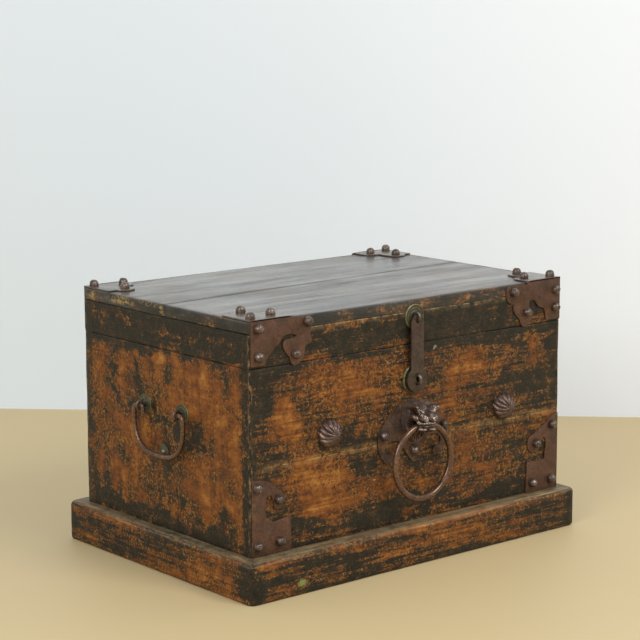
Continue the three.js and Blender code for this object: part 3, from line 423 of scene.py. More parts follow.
def iron(name, dark, mid, light, rough, metallic, wear=0.25, depth=0.0009, coat=0, ridge_highlight_and_hollows=0, sunk=()):
    """Metal with a brown patina: mottled, pitted, darker in its hollows, and painted pale on its raised parts
    as a painted highlight.
    """
    tree = Tree(name)
    place = tree.place
    mottle = place.noise(190, 6, 0.68)
    pits = place.noise(640, 4, 0.6)
    field = place.noise(40, 5, 0.6).spread(0.9, 0.5) + mottle.spread(0.9)
    tree.colour = field.ramp((0.2, *dark), (0.5, *mid), (0.8, *light))
    tree.paint(pits.between(0.64, 0.72, 0, wear), (150, 132, 118))
    tree.paint((place + (0.4, 0.9, 0.2)).noise(70, 6, 0.7).between(0.54, 0.66, 0, 0.4), (96, 58, 36))
    tree.paint(place.noise(110, 6, 0.7).between(0.56, 0.66, 0, 0.5), dark)
    if ridge_highlight_and_hollows:
        bend = tree.node("NewGeometry", (), "Pointiness")
        # darker in the hollows, and a painted highlight: the raised parts painted pale
        tree.paint(bend.between(0.36, 0.5, ridge_highlight_and_hollows, 0), (30, 22, 19))
        tree.paint(bend.between(0.51, 0.6, 0, ridge_highlight_and_hollows), light)
        # low places near the wood are darker: two heights over the wood, and the slope of the piece along x
        low, high, slope = sunk
        x, y, z = place.split()
        tree.paint((x * slope + (FRONT_Y - y)).between(low, high, 0.8, 0), (74, 50, 40))
    relief = place.noise(75, 2, 0.5) * 1.2 + mottle * 0.45 + pits * 0.2
    levels = {"Metallic": metallic, "Coat Weight": coat, "Coat Roughness": 0.25}
    return tree.shade({"Roughness": mottle.spread(0.4, rough), **levels}, relief, 0.6, depth)


front_wood = lacquer(
    "front_lacquer", "x", 0.455, FRONT_PATCHES, 0.14, 1.2, 0.3, marks=FRONT_MARKS, seam=FRONT_SEAM)
lid_front_wood = lacquer("lid_front_lacquer", "x", 0.23, FRONT_PATCHES, 0, 1.3, 0.1, seam=LID_FRONT_SEAM)
end_wood = lacquer("end_lacquer", "y", 0.5, END_PATCHES, 0.18, 0.3, 0.75)
lid_end_wood = lacquer("lid_end_lacquer", "y", 0.17, END_PATCHES, 0, 0.6, 0.5)
far_wood = lacquer("far_lacquer", "x", 0.4, (), 0.15, 1.1, 0.4)
far_end_wood = lacquer("far_end_lacquer", "y", 0.46, (), 0.15, 0.4, 0.8)
rail_wood = lacquer("rail_lacquer", "x", 0.36, combed=1.8, wiped=0.0, rail=True, marks=RAIL_MARKS)
end_rail_wood = lacquer("end_rail_lacquer", "y", 0.45, combed=1.5, wiped=0.2, rail=True)
top_wood = lid_top_lacquer()
raw_wood = bare_wood("bare_softwood", (0.04, 1, 1))
raw_end_wood = bare_wood("bare_end_softwood", (1, 0.04, 1))
plate_iron = iron("plate_iron", (48, 31, 21), (80, 52, 35), (104, 71, 48), 0.52, 0.2)
worn_iron = iron("worn_iron", (24, 21, 17), (62, 43, 31), (118, 76, 46), 0.5, 0.15, 0.4)
top_iron = iron("top_iron", (56, 48, 40), (82, 70, 57), (108, 93, 76), 0.38, 0.2, coat=0.7)
stud_iron = iron("stud_iron", (46, 37, 32), (82, 67, 58), (140, 123, 110), 0.36, 0.6, 0.35, 0.0004, 0.4)
# the mask and the bosses get a painted highlight on their raised parts, and darker hollows
mask_iron = iron("mask_iron", (44, 32, 27), (106, 87, 76), (208, 196, 184), 0.28, 0.65, 0.3, 0.0003, 0.4,
                 0.85, (0.012, 0.034, 0.6))
boss_iron = iron("boss_iron", (46, 34, 29), (86, 65, 55), (140, 116, 102), 0.36, 0.6, 0.3, 0.0003, 0.4,
                 0.7, (0.002, 0.006, 0))
ring_iron = iron("ring_iron", (66, 44, 29), (96, 66, 46), (126, 94, 70), 0.27, 0.55, 0.1, 0.00006, 0.4)
bar_iron = iron("bar_iron", (60, 46, 38), (92, 72, 60), (124, 102, 88), 0.38, 0.6, 0.2, 0.0002, 0.4)
strap_iron = iron("strap_iron", (44, 35, 28), (68, 54, 43), (90, 75, 61), 0.46, 0.4)
eye_iron = iron("eye_iron", (60, 50, 41), (104, 90, 76), (160, 146, 126), 0.4, 0.7, 0.3, 0.0003)
green_brass = iron("green_brass", (44, 44, 34), (74, 73, 55), (106, 100, 78), 0.45, 0.5, 0.4)
# bright brass for the rims of rosettes, paler partly as a painted highlight
rim_brass_and_highlight = iron("rim_brass_and_highlight", (66, 62, 42), (106, 100, 68), (150, 142, 104), 0.42, 0.65, 0.2)


# Frames of the faces: x to the right as seen from outside, y up, z out of the wood, in millimetres

def face_frame(right, up, out, origin):
    columns = [Vector(right), Vector(up), Vector(out), Vector(origin)]
    matrix = Matrix([[column[row] for column in columns] for row in range(3)] + [[0, 0, 0, 1]])
    return matrix @ Matrix.Diagonal((MM, MM, MM, 1))


def side_frame(side, origin):
    x, y = {"front": (0, -1), "back": (0, 1), "left": (-1, 0), "right": (1, 0)}[side]
    return face_frame((-y, x, 0), (0, 0, 1), (x, y, 0), origin)


FRONT = side_frame("front", (0, FRONT_Y, 0))
BACK = side_frame("back", (0, BACK_Y, 0))
LEFT = side_frame("left", (LEFT_X, MID_Y, 0))
RIGHT = side_frame("right", (-LEFT_X, MID_Y, 0))
TOP = face_frame((1, 0, 0), (0, 1, 0), (0, 0, 1), (0, MID_Y, TOP_Z))


# Mesh helpers, in millimetres of a face's frame

def shell(rings, loop=False):
    """A closed skin over rings of points, of which some may be one point; a loop has no ends."""
    mesh = bmesh.new()
    rows = [[mesh.verts.new(point) for point in ring] for ring in rings]
    if loop:
        rows.append(rows[0])
    for low, high in zip(rows, rows[1:]):
        count = max(len(low), len(high))
        for i in range(count):
            j = (i + 1) % count
            corners = [low[i % len(low)], low[j % len(low)], high[j % len(high)], high[i % len(high)]]
            mesh.faces.new(list(dict.fromkeys(corners)))
    if not loop:
        for end in (rows[0][::-1], rows[-1]):
            if len(end) > 2:
                mesh.faces.new(end)
    bmesh.ops.recalc_face_normals(mesh, faces=mesh.faces)
    return mesh


def turns(count):
    """Even angles round a circle."""
    return [2 * pi * i / count for i in range(count)]


def circle(x, y, radius, start, end, steps):
    """Points along an arc, in a plane."""
    around = [start + (end - start) * i / steps for i in range(steps + 1)]
    return [(x + radius * cos(turn), y + radius * sin(turn)) for turn in around]


def turned(profile, sides, place=(0, 0, 0), hole=False):
    """A turned piece about z, from a profile of radius and height."""
    x, y, z = place
    rings = []
    for radius, height in profile:
        around = turns(sides if radius > 1e-6 else 1)
        rings.append([(x + radius * cos(turn), y + radius * sin(turn), z + height) for turn in around])
    return shell(rings, hole)


def waver(x, y, z):
    """A smooth random value about zero at a place."""
    return noise.noise(Vector((x, y, z)))


def mirrored(half):
    """A path whose first half is given up to its middle, with the other half mirrored along x."""
    return half + [(-x, *rest) for x, *rest in half[-2::-1]]


def catmull(points, steps):
    """Points along a smooth curve through the given ones."""
    result = []
    last = len(points) - 1
    for i in range(last):
        a, b, c, d = [Vector(points[max(0, min(last, k))]) for k in (i - 1, i, i + 1, i + 2)]
        for step in range(steps):
            t = step / steps
            bend = (2 * a - 5 * b + 4 * c - d) * t * t + (3 * b - a - 3 * c + d) * t ** 3
            result.append(0.5 * (2 * b + (c - a) * t + bend))
    result.append(Vector(points[-1]))
    return result


def wire(points, radius, sides=14, squeeze=None):
    """A round bar along a path, twisted as little as it can be; squeeze changes its radius along the way."""
    last = len(points) - 1
    tangents = [(points[min(i + 1, last)] - points[max(i - 1, 0)]).normalized() for i in range(last + 1)]
    normal = tangents[0].orthogonal().normalized()
    rings = []
    for i, (point, tangent) in enumerate(zip(points, tangents)):
        normal = (normal - tangent * normal.dot(tangent)).normalized()
        side = tangent.cross(normal)
        size = radius * (squeeze(i / last) if squeeze else 1)
        rings.append([point + size * (cos(turn) * normal + sin(turn) * side) for turn in turns(sides)])
    return shell(rings)


def torus(centre, radius, bar, axis, steps=48, sides=14, uneven=0.0):
    """A ring of wire about an axis; an uneven one is a little thinner here and there."""
    rings = []
    for around in turns(steps):
        ring = []
        for turn in turns(sides):
            size = bar * (1 - uneven * (0.5 + waver(cos(around) * 2, sin(around) * 2, cos(turn) * 0.7)))
            reach = radius + size * cos(turn)
            a, b, c = reach * cos(around), reach * sin(around), size * sin(turn)
            offset = {"x": (c, a, b), "z": (a, b, c)}[axis]
            ring.append(Vector(centre) + Vector(offset))
        rings.append(ring)
    return shell(rings, True)


def placed(pieces, x=0.0, y=0.0, z=0.0, turn=Matrix()):
    """The same pieces, turned and then moved."""
    for piece, material in pieces:
        bmesh.ops.transform(piece, matrix=Matrix.Translation((x, y, z)) @ turn, verts=piece.verts)
    return pieces


def object_of(node, pieces, matrix, body, smooth=50, ending="_fine"):
    """One object in place of a solid, out of (bmesh, material) pieces.

    A material may be a function that chooses one by the middle of a face.
    """
    whole = bmesh.new()
    materials = []
    for piece, material in pieces:
        bmesh.ops.triangulate(piece, faces=[face for face in piece.faces if len(face.verts) > 4])
        for face in piece.faces:
            chosen = material(face.calc_center_median()) if callable(material) else material
            if chosen not in materials:
                materials.append(chosen)
            face.material_index = materials.index(chosen)
        data = bpy.data.meshes.new("part")
        piece.to_mesh(data)
        piece.free()
        whole.from_mesh(data)
        bpy.data.meshes.remove(data)
    data = bpy.data.meshes.new(node + ending)
    for face in whole.faces:
        face.smooth = True
    for edge in whole.edges:
        if len(edge.link_faces) == 2 and edge.calc_face_angle(0) > radians(smooth):
            edge.smooth = False
    whole.to_mesh(data)
    whole.free()
    data.transform(matrix)
    if matrix.determinant() < 0:
        data.flip_normals()
    for material in materials:
        data.materials.append(material)
    made = added(node + ending, data)
    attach(made, body)
    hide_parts(node)


def evaluated(holder):
    """The mesh that a curve or a modifier makes of an object."""
    data = bpy.data.meshes.new_from_object(holder.evaluated_get(bpy.context.evaluated_depsgraph_get()))
    mesh = bmesh.new()
    mesh.from_mesh(data)
    bpy.data.meshes.remove(data)
    return mesh


def plate_mesh(loops, thickness, bevel):
    """A flat plate with rounded arrises, out of a closed outline and the outlines of its holes."""
    curve = bpy.data.curves.new("plate", "CURVE")
    curve.dimensions = "2D"
    curve.fill_mode = "BOTH"
    curve.extrude = thickness / 2 - bevel
    curve.bevel_depth = bevel
    curve.bevel_resolution = 2
    curve.offset = -bevel
    for loop in loops:
        spline = curve.splines.new("POLY")
        spline.points.add(len(loop) - 1)
        for point, (x, y) in zip(spline.points, loop):
            point.co = (x, y, 0, 1)
        spline.use_cyclic_u = True
    holder = added("plate", curve)
    mesh = evaluated(holder)
    bmesh.ops.translate(mesh, verts=mesh.verts, vec=(0, 0, thickness / 2))
    bmesh.ops.remove_doubles(mesh, verts=mesh.verts, dist=1e-3)
    bpy.data.objects.remove(holder)
    bpy.data.curves.remove(curve)
    return mesh


def carved(mesh, cutter):
    """A closed mesh without the room of another."""
    holders = []
    for piece in (mesh, cutter):
        data = bpy.data.meshes.new("carved")
        piece.to_mesh(data)
        piece.free()
        holders.append(added("carved", data))
    modifier = holders[0].modifiers.new("room", "BOOLEAN")
    modifier.operation = "DIFFERENCE"
    modifier.solver = "EXACT"
    modifier.object = holders[1]
    result = evaluated(holders[0])
    for holder in holders:
        used = holder.data
        bpy.data.objects.remove(holder)
        bpy.data.meshes.remove(used)
    return result


def cusped(stretches, place, steps=10):
    """A closed outline of smooth stretches that meet in cusps."""
    outline = []
    current = place((0, 0))
    for stretch in stretches:
        points = [current] + [place(share) for share in stretch]
        if len(points) == 2:
            outline.append(current)
        else:
            outline.extend(catmull([(x, y, 0) for x, y in points], steps)[:-1])
        current = points[-1]
    outline.append(current)
    cleaned = []
    for point in outline:
        flat = (point[0], point[1])
        if not cleaned or dist(flat, cleaned[-1]) > 0.05:
            cleaned.append(flat)
    if dist(cleaned[0], cleaned[-1]) < 0.05:
        cleaned.pop()
    return cleaned


# Boards with worn arrises

WALL = 21
LID_THICKNESS = 21.5
LID_CORNER = 5
BOARD_GAP = 0.3
LAP = 8


def rub(seed, along):
    """How much of an arris is gone at a place along it, between about a third and one and a half."""
    slow = waver(seed * 3.7, along * 0.018, 0.5)
    quick = waver(seed * 3.7, along * 0.085, 7.5)
    return 0.75 + 0.75 * slow + 0.5 * max(0, quick)


def arc(x, y, radius, start, steps=4):
    """A quarter round, counted from an angle."""
    return circle(x, y, radius, start, start + pi / 2, steps)


def board_section(low, high, climbs, thickness, worn_low, worn_high, laps, heel):
    """Points of outwards and height round a board's section: up its face and down its back, laps and all."""
    points = [(out, high + low - up) for out, up in arc(-worn_low, high - worn_low, worn_low, 0)[::-1]]
    points += [(0, low + (high - low) * i / climbs) for i in range(1, climbs)]
    points += arc(-worn_high, high - worn_high, worn_high, 0)
    above, below = laps
    if above:
        edge = -thickness / 2 - BOARD_GAP / 2
        points += [(edge, high), (edge, high + LAP), (-thickness, high + LAP)]
    else:
        points += arc(heel - thickness, high - heel, heel, pi / 2, 2)
    if below:
        edge = -thickness / 2 + BOARD_GAP / 2
        points += [(-thickness, low + LAP), (edge, low + LAP), (edge, low)]
    else:
        points += arc(heel - thickness, low + heel, heel, pi, 2)
    return points


def stations(half, pitch=11):
    """Places along a piece of a half length, crowded at both ends."""
    *ends, inner = [half - away for away in (0, 0.3, 0.8, 1.6, 2.8, 4.5)]
    count = max(2, round(2 * inner / pitch))
    return [-x for x in ends] + [-inner + 2 * inner * i / count for i in range(count + 1)] + ends[::-1]


def board(half, span, thickness, woods, seed, worn, end_worn, laps=(0, 0), heel=0.01):
    """A board along x of a face: span gives its edges at a place, and woods its face and its back."""
    rings = []
    low, high = span(0)
    climbs = round((high - low) / 9)
    for along in stations(half):
        low, high = span(along)
        wear_low = max(0.2, worn[0] * rub(seed, along))
        wear_high = max(0.2, worn[1] * rub(seed + 11, along))
        ring = []
        for out, up in board_section(low, high, climbs, thickness, wear_low, wear_high, laps, heel):
            round_off = max(0.05, end_worn * rub(seed + 23, up))
            near = max(0, round_off - (half - abs(along)))
            back = round_off - sqrt(max(0, round_off ** 2 - near ** 2))
            if out > -thickness / 2:
                swell = waver(along * 0.012, up * 0.02, seed * 1.9)
                out = min(out - 0.2 * max(0, swell), -back)
            elif heel > 0.1:
                out = max(out, back * 0.7 - thickness)
            ring.append((along, up, out))
        rings.append(ring)

    def wood(centre):
        return woods[1] if centre.z < 0.1 - thickness else woods[0]

    return shell(rings), wood


def side_board(node, matrix, body, wood, seed, laps, worn, end_worn=2.6):
    """A wall board or a skirt, between the heights of its solid without the lap."""
    low_box, high_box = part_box(node)
    size = high_box - low_box
    low = low_box.z / MM
    high = high_box.z / MM - LAP * laps[0]
    half = max(size.x, size.y) / MM / 2
    inside = raw_wood if size.x > size.y else raw_end_wood
    pieces = [board(half, lambda along: (low, high), WALL, (wood, inside), seed, worn, end_worn, laps)]
    object_of(node, pieces, matrix, body, 40, "_worn")


side_board("front_lower_board", FRONT, "box", front_wood, 1, (1, 0), (1.2, 1.6))
side_board("front_upper_board", FRONT, "box", front_wood, 2, (0, 1), (1.4, 2.4))
side_board("back_lower_board", BACK, "box", far_wood, 3, (1, 0), (1.2, 1.6))
side_board("back_upper_board", BACK, "box", far_wood, 4, (0, 1), (1.4, 2.4))
side_board("left_end_board", LEFT, "box", end_wood, 5, (0, 0), (1.2, 2.2), 0.5)
side_board("right_end_board", RIGHT, "box", far_end_wood, 6, (0, 0), (1.2, 2.2), 0.5)
side_board("lid_front_skirt", FRONT, "lid", lid_front_wood, 7, (0, 0), (2.2, 1.4))
side_board("lid_back_skirt", BACK, "lid", far_wood, 8, (0, 0), (2.2, 1.4))
side_board("lid_left_skirt", LEFT, "lid", lid_end_wood, 9, (0, 0), (2.2, 1.4), 0.5)
side_board("lid_right_skirt", RIGHT, "lid", far_end_wood, 10, (0, 0), (2.2, 1.4), 0.5)


def round_corners(mesh, half_x, half_y, radius, axes=(0, 1)):
    """Bends the upright corners of a plan round, so that square layers become round ones."""
    i, j = axes
    for vertex in mesh.verts:
        a = abs(vertex.co[i]) - (half_x - radius)
        b = abs(vertex.co[j]) - (half_y - radius)
        if a > 0 and b > 0:
            size = max(a, b) / hypot(a, b)
            vertex.co[i] = copysign(half_x - radius + a * size, vertex.co[i])
            vertex.co[j] = copysign(half_y - radius + b * size, vertex.co[j])


def lid_board(node, seed, back):
    """One of the two boards of the lid's top, with the seam askew between them."""
    half = HALF_X / MM
    edge = HALF_Y / MM

    def span(along):
        seam = SEAM[0] + (SEAM[1] - SEAM[0]) * (along + half) / (2 * half)
        return (seam + BOARD_GAP / 2, edge) if back else (-edge, seam - BOARD_GAP / 2)

    worn = (0.9, 2.8) if back else (2.8, 0.9)
    mesh, wood = board(half, span, LID_THICKNESS, (top_wood, raw_wood), seed, worn, 2.8, heel=1.2)
    round_corners(mesh, half, edge, LID_CORNER)
    object_of(node, [(mesh, wood)], TOP, "lid", 40, "_worn")


lid_board("lid_top_front_board", 12, False)
lid_board("lid_top_back_board", 13, True)


# Radii of a rail's lower and upper arris and of the plinth's corners, and a strip along the top's inner edge
RAIL_FOOT = 5
RAIL_CROWN = 11
RAIL_CORNER = 14
RAIL_STRIP = 12


def plinth_rail(side, seed, wood):
    """A rail of the plinth: a heavy rounded section with mitred ends."""
    end_outer, end_inner = (-corner.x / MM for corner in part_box("plinth_left"))
    outer_y, inner_y = ((PLINTH_MID_Y - corner.y) / MM for corner in (PLINTH_LOW, PLINTH_HIGH))
    outer, outer_reach, inner, inner_reach = outer_y, end_outer, inner_y, end_inner
    if side in ("left", "right"):
        outer, outer_reach, inner, inner_reach = end_outer, outer_y, end_inner, inner_y
    top = PLINTH_TOP / MM
    rings = []
    shares = [-1, -0.996, -0.988, -0.976, -0.964]
    shares += [-0.95 + 1.9 * i / 60 for i in range(61)] + [-share for share in shares[::-1]]
    for share in shares:
        along = share * outer_reach
        foot = RAIL_FOOT * (0.8 + 0.4 * rub(seed, along))
        crown = RAIL_CROWN * (0.72 + 0.3 * rub(seed + 5, along))
        section = [(outer - foot + out, up) for out, up in arc(0, foot, foot, -pi / 2)]
        section += [(outer, foot + (top - crown - foot) * i / 5) for i in range(1, 5)]
        section += [(outer - crown + out, up) for out, up in arc(0, top - crown, crown, 0, 7)]
        section += [(inner + RAIL_STRIP, top), (inner, top), (inner, 0)]
        ring = []
        for out, up in section:
            if out > outer - 10:
                swell = waver(along * 0.011, up * 0.03, seed * 2.3)
                pit = waver(along * 0.06, up * 0.08, seed * 4.1)
                out -= 0.5 * max(0, swell) + 0.35 * max(0, pit)
            mitre = (out - inner) / (outer - inner)
            reach = inner_reach + mitre * (outer_reach - inner_reach) - BOARD_GAP / 2
            ring.append((share * reach, up, out))
        rings.append(ring)
    mesh = shell(rings)
    round_corners(mesh, outer_reach, outer, RAIL_CORNER, (0, 2))

    def choose(centre):
        return raw_wood if centre.z < inner + 0.1 or centre.y < 0.1 else wood

    frame_of_side = side_frame(side, (0, PLINTH_MID_Y, 0))
    object_of("plinth_" + side, [(mesh, choose)], frame_of_side, "box", 40, "_worn")


plinth_rail("front", 31, rail_wood)
plinth_rail("back", 41, rail_wood)
plinth_rail("left", 51, end_rail_wood)
plinth_rail("right", 61, end_rail_wood)


# Studs, plates and irons, with the same shares as the solids

PLATE = 2.6
GAP = 0.3
STUD_RADIUS = 8.7
STUD_HEIGHT = 12
IRON_INSET = 2
LID_IRON_SIZE = (145, 82)
LID_LEG_SIZE = (86, 89)
BASE_IRON_SIZE = (86, 143)


def aim(turn, climb):
    """The direction at a turn round z and a climb towards it."""
    return Vector((cos(climb) * cos(turn), cos(climb) * sin(turn), sin(climb)))


def stud_mesh(x, y, seed, radius=STUD_RADIUS, height=STUD_HEIGHT, base=PLATE):
    """A tall domed stud with shallow hammered facets."""
    pick = random.Random(seed)
    planes = []
    for i in range(12):
        tilt = pick.uniform(0.1, 1.4)
        turn = pick.uniform(0, 2 * pi)
        planes.append((aim(turn, pi / 2 - tilt), pick.uniform(0.92, 0.98)))
    rings = []
    bands, sides, power = 14, 30, 2.6
    for band in range(bands + 1):
        climb = pi / 2 * band / bands
        blunt = (cos(climb) ** power + sin(climb) ** power) ** (-1 / power) if band < bands else 1
        wide = radius * min(blunt, 1.12) * (0.995 if band else 0.97)
        tall = height * min(blunt, 1.1) * 0.99
        ring = []
        for turn in turns(sides if band < bands else 1):
            unit = aim(turn, climb)
            size = min([1.0] + [reach / max(unit.dot(normal), 0.01) for normal, reach in planes])
            ring.append((x + unit.x * size * wide, y + unit.y * size * wide, base + unit.z * size * tall))
        rings.append(ring)
    return shell([[(a, b, base - 0.6) for a, b, c in rings[0]]] + rings)


LEFT_LID_IRON = [
    [(0.885, 0.035)],
    [(0.9, 0.12), (0.895, 0.27), (0.87, 0.39)],
    [(0.89, 0.5), (0.87, 0.585), (0.795, 0.63)],
    [(0.785, 0.74), (0.765, 0.87), (0.7, 0.98), (0.63, 1), (0.585, 0.95)],
    [(0.56, 0.82), (0.5, 0.7), (0.465, 0.56), (0.5, 0.455), (0.63, 0.44)],
    [(0.655, 0.395), (0.62, 0.36), (0.53, 0.345), (0.46, 0.39), (0.4, 0.53)],
    [(0.36, 0.56), (0.305, 0.66)],
    [(0.236, 0.77), (0.2, 0.91)],
    [(0, 0.91)],
]
LEFT_LID_STUDS = [(0.09, 0.14), (0.825, 0.135), (0.64, 0.77), (0.1, 0.72)]
RIGHT_LID_IRON = [
    [(0.945, 0.035)],
    [(0.965, 0.12), (0.97, 0.27), (0.93, 0.39), (0.846, 0.45)],
    [(0.84, 0.57), (0.8, 0.7), (0.735, 0.79)],
    [(0.715, 0.88), (0.68, 0.97), (0.62, 1), (0.565, 0.93)],
    [(0.515, 0.82), (0.495, 0.68), (0.565, 0.54)],
    [(0.55, 0.43), (0.48, 0.41), (0.43, 0.5), (0.38, 0.58), (0.3, 0.63)],
    [(0.27, 0.72), (0.255, 0.92)],
    [(0, 0.92)],
]
RIGHT_LID_STUDS = [(0.1, 0.24), (0.855, 0.17), (0.62, 0.66), (0.1, 0.64)]
LID_IRON_TOP = [
    [(0.96, 0)],
    [(1, 0.16), (0.97, 0.38), (0.82, 0.5)],
    [(0.74, 0.49), (0.66, 0.53)],
    [(0.68, 0.7), (0.62, 0.92), (0.44, 1), (0.25, 0.93), (0.2, 0.84)],
    [(0, 0.84)],
]
LID_IRON_TOP_STUDS = [(0.13, 0.15), (0.76, 0.31), (0.44, 0.82)]
LEFT_BASE_IRON = [
    [(0.97, 0)],
    [(0.95, 0.41)],
    [(0.75, 0.4), (0.54, 0.385)],
    [(0.42, 0.42), (0.32, 0.48), (0.35, 0.58), (0.34, 0.68), (0.46, 0.705), (0.53, 0.63)],
    [(0.56, 0.545), (0.7, 0.53), (0.81, 0.62)],
    [(0.79, 0.68), (0.73, 0.73)],
    [(0.52, 0.83), (0.3, 0.9), (0, 0.93)],
]
LEFT_BASE_STUDS = [(0.12, 0.13), (0.67, 0.135), (0.64, 0.645), (0.12, 0.83)]
RIGHT_BASE_IRON = [
    [(0.97, 0)],
    [(0.94, 0.41)],
    [(0.7, 0.41), (0.4, 0.41)],
    [(0.385, 0.52), (0.36, 0.62), (0.41, 0.7), (0.49, 0.68), (0.54, 0.6)],
    [(0.62, 0.54), (0.8, 0.53), (0.92, 0.6), (0.92, 0.69)],
    [(0.86, 0.745), (0.71, 0.78)],
    [(0.56, 0.83), (0.36, 0.9), (0.16, 0.985)],
    [(0, 1)],
]
RIGHT_BASE_STUDS = [(0.21, 0.125), (0.79, 0.125), (0.685, 0.645), (0.195, 0.86)]
BACKPLATE = [
    [(0.12, 0.09), (0.27, 0.24)],
    [(0.36, 0.3), (0.42, 0.37)],
    [(0.56, 0.385), (0.72, 0.36), (0.8, 0.28), (0.75, 0.2), (0.6, 0.17)],
    [(0.57, 0.09), (0.66, 0.04), (0.8, 0.06)],
    [(0.93, 0.19), (1, 0.35), (0.97, 0.52)],
    [(0.83, 0.68), (0.69, 0.79)],
    [(0.6, 0.77), (0.52, 0.82)],
    [(0.42, 0.93), (0.22, 0.96), (0, 1)],
]


def studded(shares, studs, place, seed, metal):
    """A plate with its studs, on the face that it is fastened to."""
    pieces = [(plate_mesh([cusped(shares, place)], PLATE, 0.5), metal)]
    return pieces + [(stud_mesh(*place(share), seed + i), stud_iron) for i, share in enumerate(studs)]


def layout(x, y, size, bend=0):
    """Gives what turns a share of a plate into its place; where v is 0, the plate may reach round a bend."""
    return lambda share: (x + share[0] * size[0], y + (share[1] * size[1] if share[1] else bend))


def lid_iron(node, face, side, shares, studs, seed):
    """A corner iron of the lid: a plate on its side and a leg on its top."""
    edge = side * (IRON_INSET - HALF_X / MM)
    top = TOP_Z / MM
    bend = GAP + PLATE
    drop = layout(edge, top, (side * LID_IRON_SIZE[0], -LID_IRON_SIZE[1]), bend)
    lie = layout(edge, 0, (side * LID_LEG_SIZE[0], LID_LEG_SIZE[1]), -bend)
    start = [(0.56, 0), (0.6, 0.035)]
    upright = studded([start] + shares, studs, drop, seed, plate_iron)
    flat = studded(LID_IRON_TOP, LID_IRON_TOP_STUDS, lie, seed + 10, top_iron)
    pieces = placed(upright, z=GAP) + placed(flat, y=top + GAP, turn=Matrix.Rotation(-pi / 2, 4, "X"))
    object_of(node, pieces, face, "lid", 38)


def base_iron(node, side, shares, studs, seed):
    edge = side * (IRON_INSET - HALF_X / MM)
    rise = layout(edge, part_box(node)[0].z / MM, (side * BASE_IRON_SIZE[0], BASE_IRON_SIZE[1]))
    pieces = studded(shares, studs, rise, seed, plate_iron)
    object_of(node, placed(pieces, z=GAP), FRONT, "box", 38)


lid_iron("lid_iron_front_left", FRONT, 1, LEFT_LID_IRON, LEFT_LID_STUDS, 10)
lid_iron("lid_iron_front_right", FRONT, -1, RIGHT_LID_IRON, RIGHT_LID_STUDS, 40)
lid_iron("lid_iron_back_right", BACK, 1, LEFT_LID_IRON, LEFT_LID_STUDS, 70)
lid_iron("lid_iron_back_left", BACK, -1, RIGHT_LID_IRON, RIGHT_LID_STUDS, 100)
base_iron("base_iron_left", 1, LEFT_BASE_IRON, LEFT_BASE_STUDS, 130)
base_iron("base_iron_right", -1, RIGHT_BASE_IRON, RIGHT_BASE_STUDS, 150)


# Ring handle: backplate, beast mask and ring

HANDLE_X = -4
BACKPLATE_FOOT = 181
BACKPLATE_SIZE = (83, 115)
RING_Z = 253
RING_OUT = 29
RING_RADIUS = 66
RING_WIRE = 5.75
MOUTH_HALF = 36
MASK_SIZE = (30, 61)
MASK_DEPTH = 45.3
MASK_FOOT = -23
MASK_SHANK = 3.9
MASK_SHANK_Y = 9
CLENCH_HALF = 13
CLENCH_RADIUS = 2
CLENCHED = -(WALL + GAP + CLENCH_RADIUS)


def backplate():
    """The cloud-shaped plate, whose outline runs up its right side and mirrored down its left."""
    place = layout(HANDLE_X, BACKPLATE_FOOT, BACKPLATE_SIZE)
    studs = [(0.86, 0.5), (-0.86, 0.5), (0, 0.2)]
    returning = []
    for i, stretch in enumerate(BACKPLATE):
        start = BACKPLATE[i - 1][-1] if i else (0, 0)
        returning.append([(-u, v) for u, v in list(stretch[:-1])[::-1] + [start]])
    pieces = studded(BACKPLATE + returning[::-1], studs, place, 170, worn_iron)
    object_of("handle_backplate", placed(pieces, z=GAP), FRONT, "box", 38)


backplate()


def clench(x, y):
    """The end of a shank, bent flat against the inside of the wall."""
    def taper(share):
        return 0.55 + 0.45 * sin(pi * min(max(share, 0.08), 0.92)) ** 0.4

    path = [Vector((x + CLENCH_HALF * (i / 4 - 1), y, CLENCHED)) for i in range(9)]
    return wire(path, CLENCH_RADIUS, 10, taper)


def straight(x, y, radius, low, high):
    """A round bar straight out of the face."""
    return wire([Vector((x, y, low + (high - low) * i / 4)) for i in range(5)], radius, 12)


def raised(u, v, middle, half_u, half_v, rise):
    """A low plateau about the middle of the face, or a trench where it falls."""
    return rise * exp(-((u / half_u) ** 4) - ((v - middle) / half_v) ** 4)


def knob_away(u, v, at_u, at_v, half_u, half_v):
    return ((u - at_u) / half_u) ** 2 + ((v - at_v) / half_v) ** 2


def knob(u, v, at_u, at_v, half_u, half_v, rise):
    away = knob_away(u, v, at_u, at_v, half_u, half_v)
    return rise * (1 - away ** 1.3) if away < 1 else 0


def groove(away, depth):
    """A groove round a knob."""
    return -depth * exp(-((sqrt(away) - 1.06) / 0.16) ** 2)


def waves(u, length, share=0.5):
    """Goes up and down along u, from one to one less twice the share."""
    return 1 - share + share * cos(2 * pi * u / length)


# Places on half of the face are across from the middle, 0 to 1, and up, 0 at the chin and 1 at the top.
# A brow is a row of knobs: middle across and up, half sizes and rise.
BROWS = [
    (0.36, 0.63, 0.28, 0.14, 0.38), (0.46, 0.7, 0.21, 0.115, 0.28), (0.54, 0.75, 0.18, 0.105, 0.25),
    (0.62, 0.8, 0.18, 0.11, 0.29), (0.7, 0.85, 0.19, 0.115, 0.37), (0.78, 0.89, 0.2, 0.12, 0.47),
    (0.84, 0.92, 0.2, 0.11, 0.54),
]
# Knobs with a groove round them: bulge over the eye, ear, jaw and nose, with the groove's depth last
KNOBS = [
    (0.36, 0.63, 0.28, 0.14, 0, 0.07), (0.84, 0.62, 0.2, 0.11, 0.2, 0.04),
    (0.38, 0.25, 0.32, 0.1, 0.22, 0.05), (0, 0.62, 0.12, 0.08, 0.08, 0.03),
]
CHIN = [(0, -0.2), (0.2, -0.17), (0.34, -0.09), (0.5, 0.02), (0.7, 0.1), (0.88, 0.2), (1, 0.36)]
CREST = [(0, 0.8), (0.25, 0.82), (0.5, 0.9), (0.76, 1), (0.93, 0.98), (1, 0.86)]


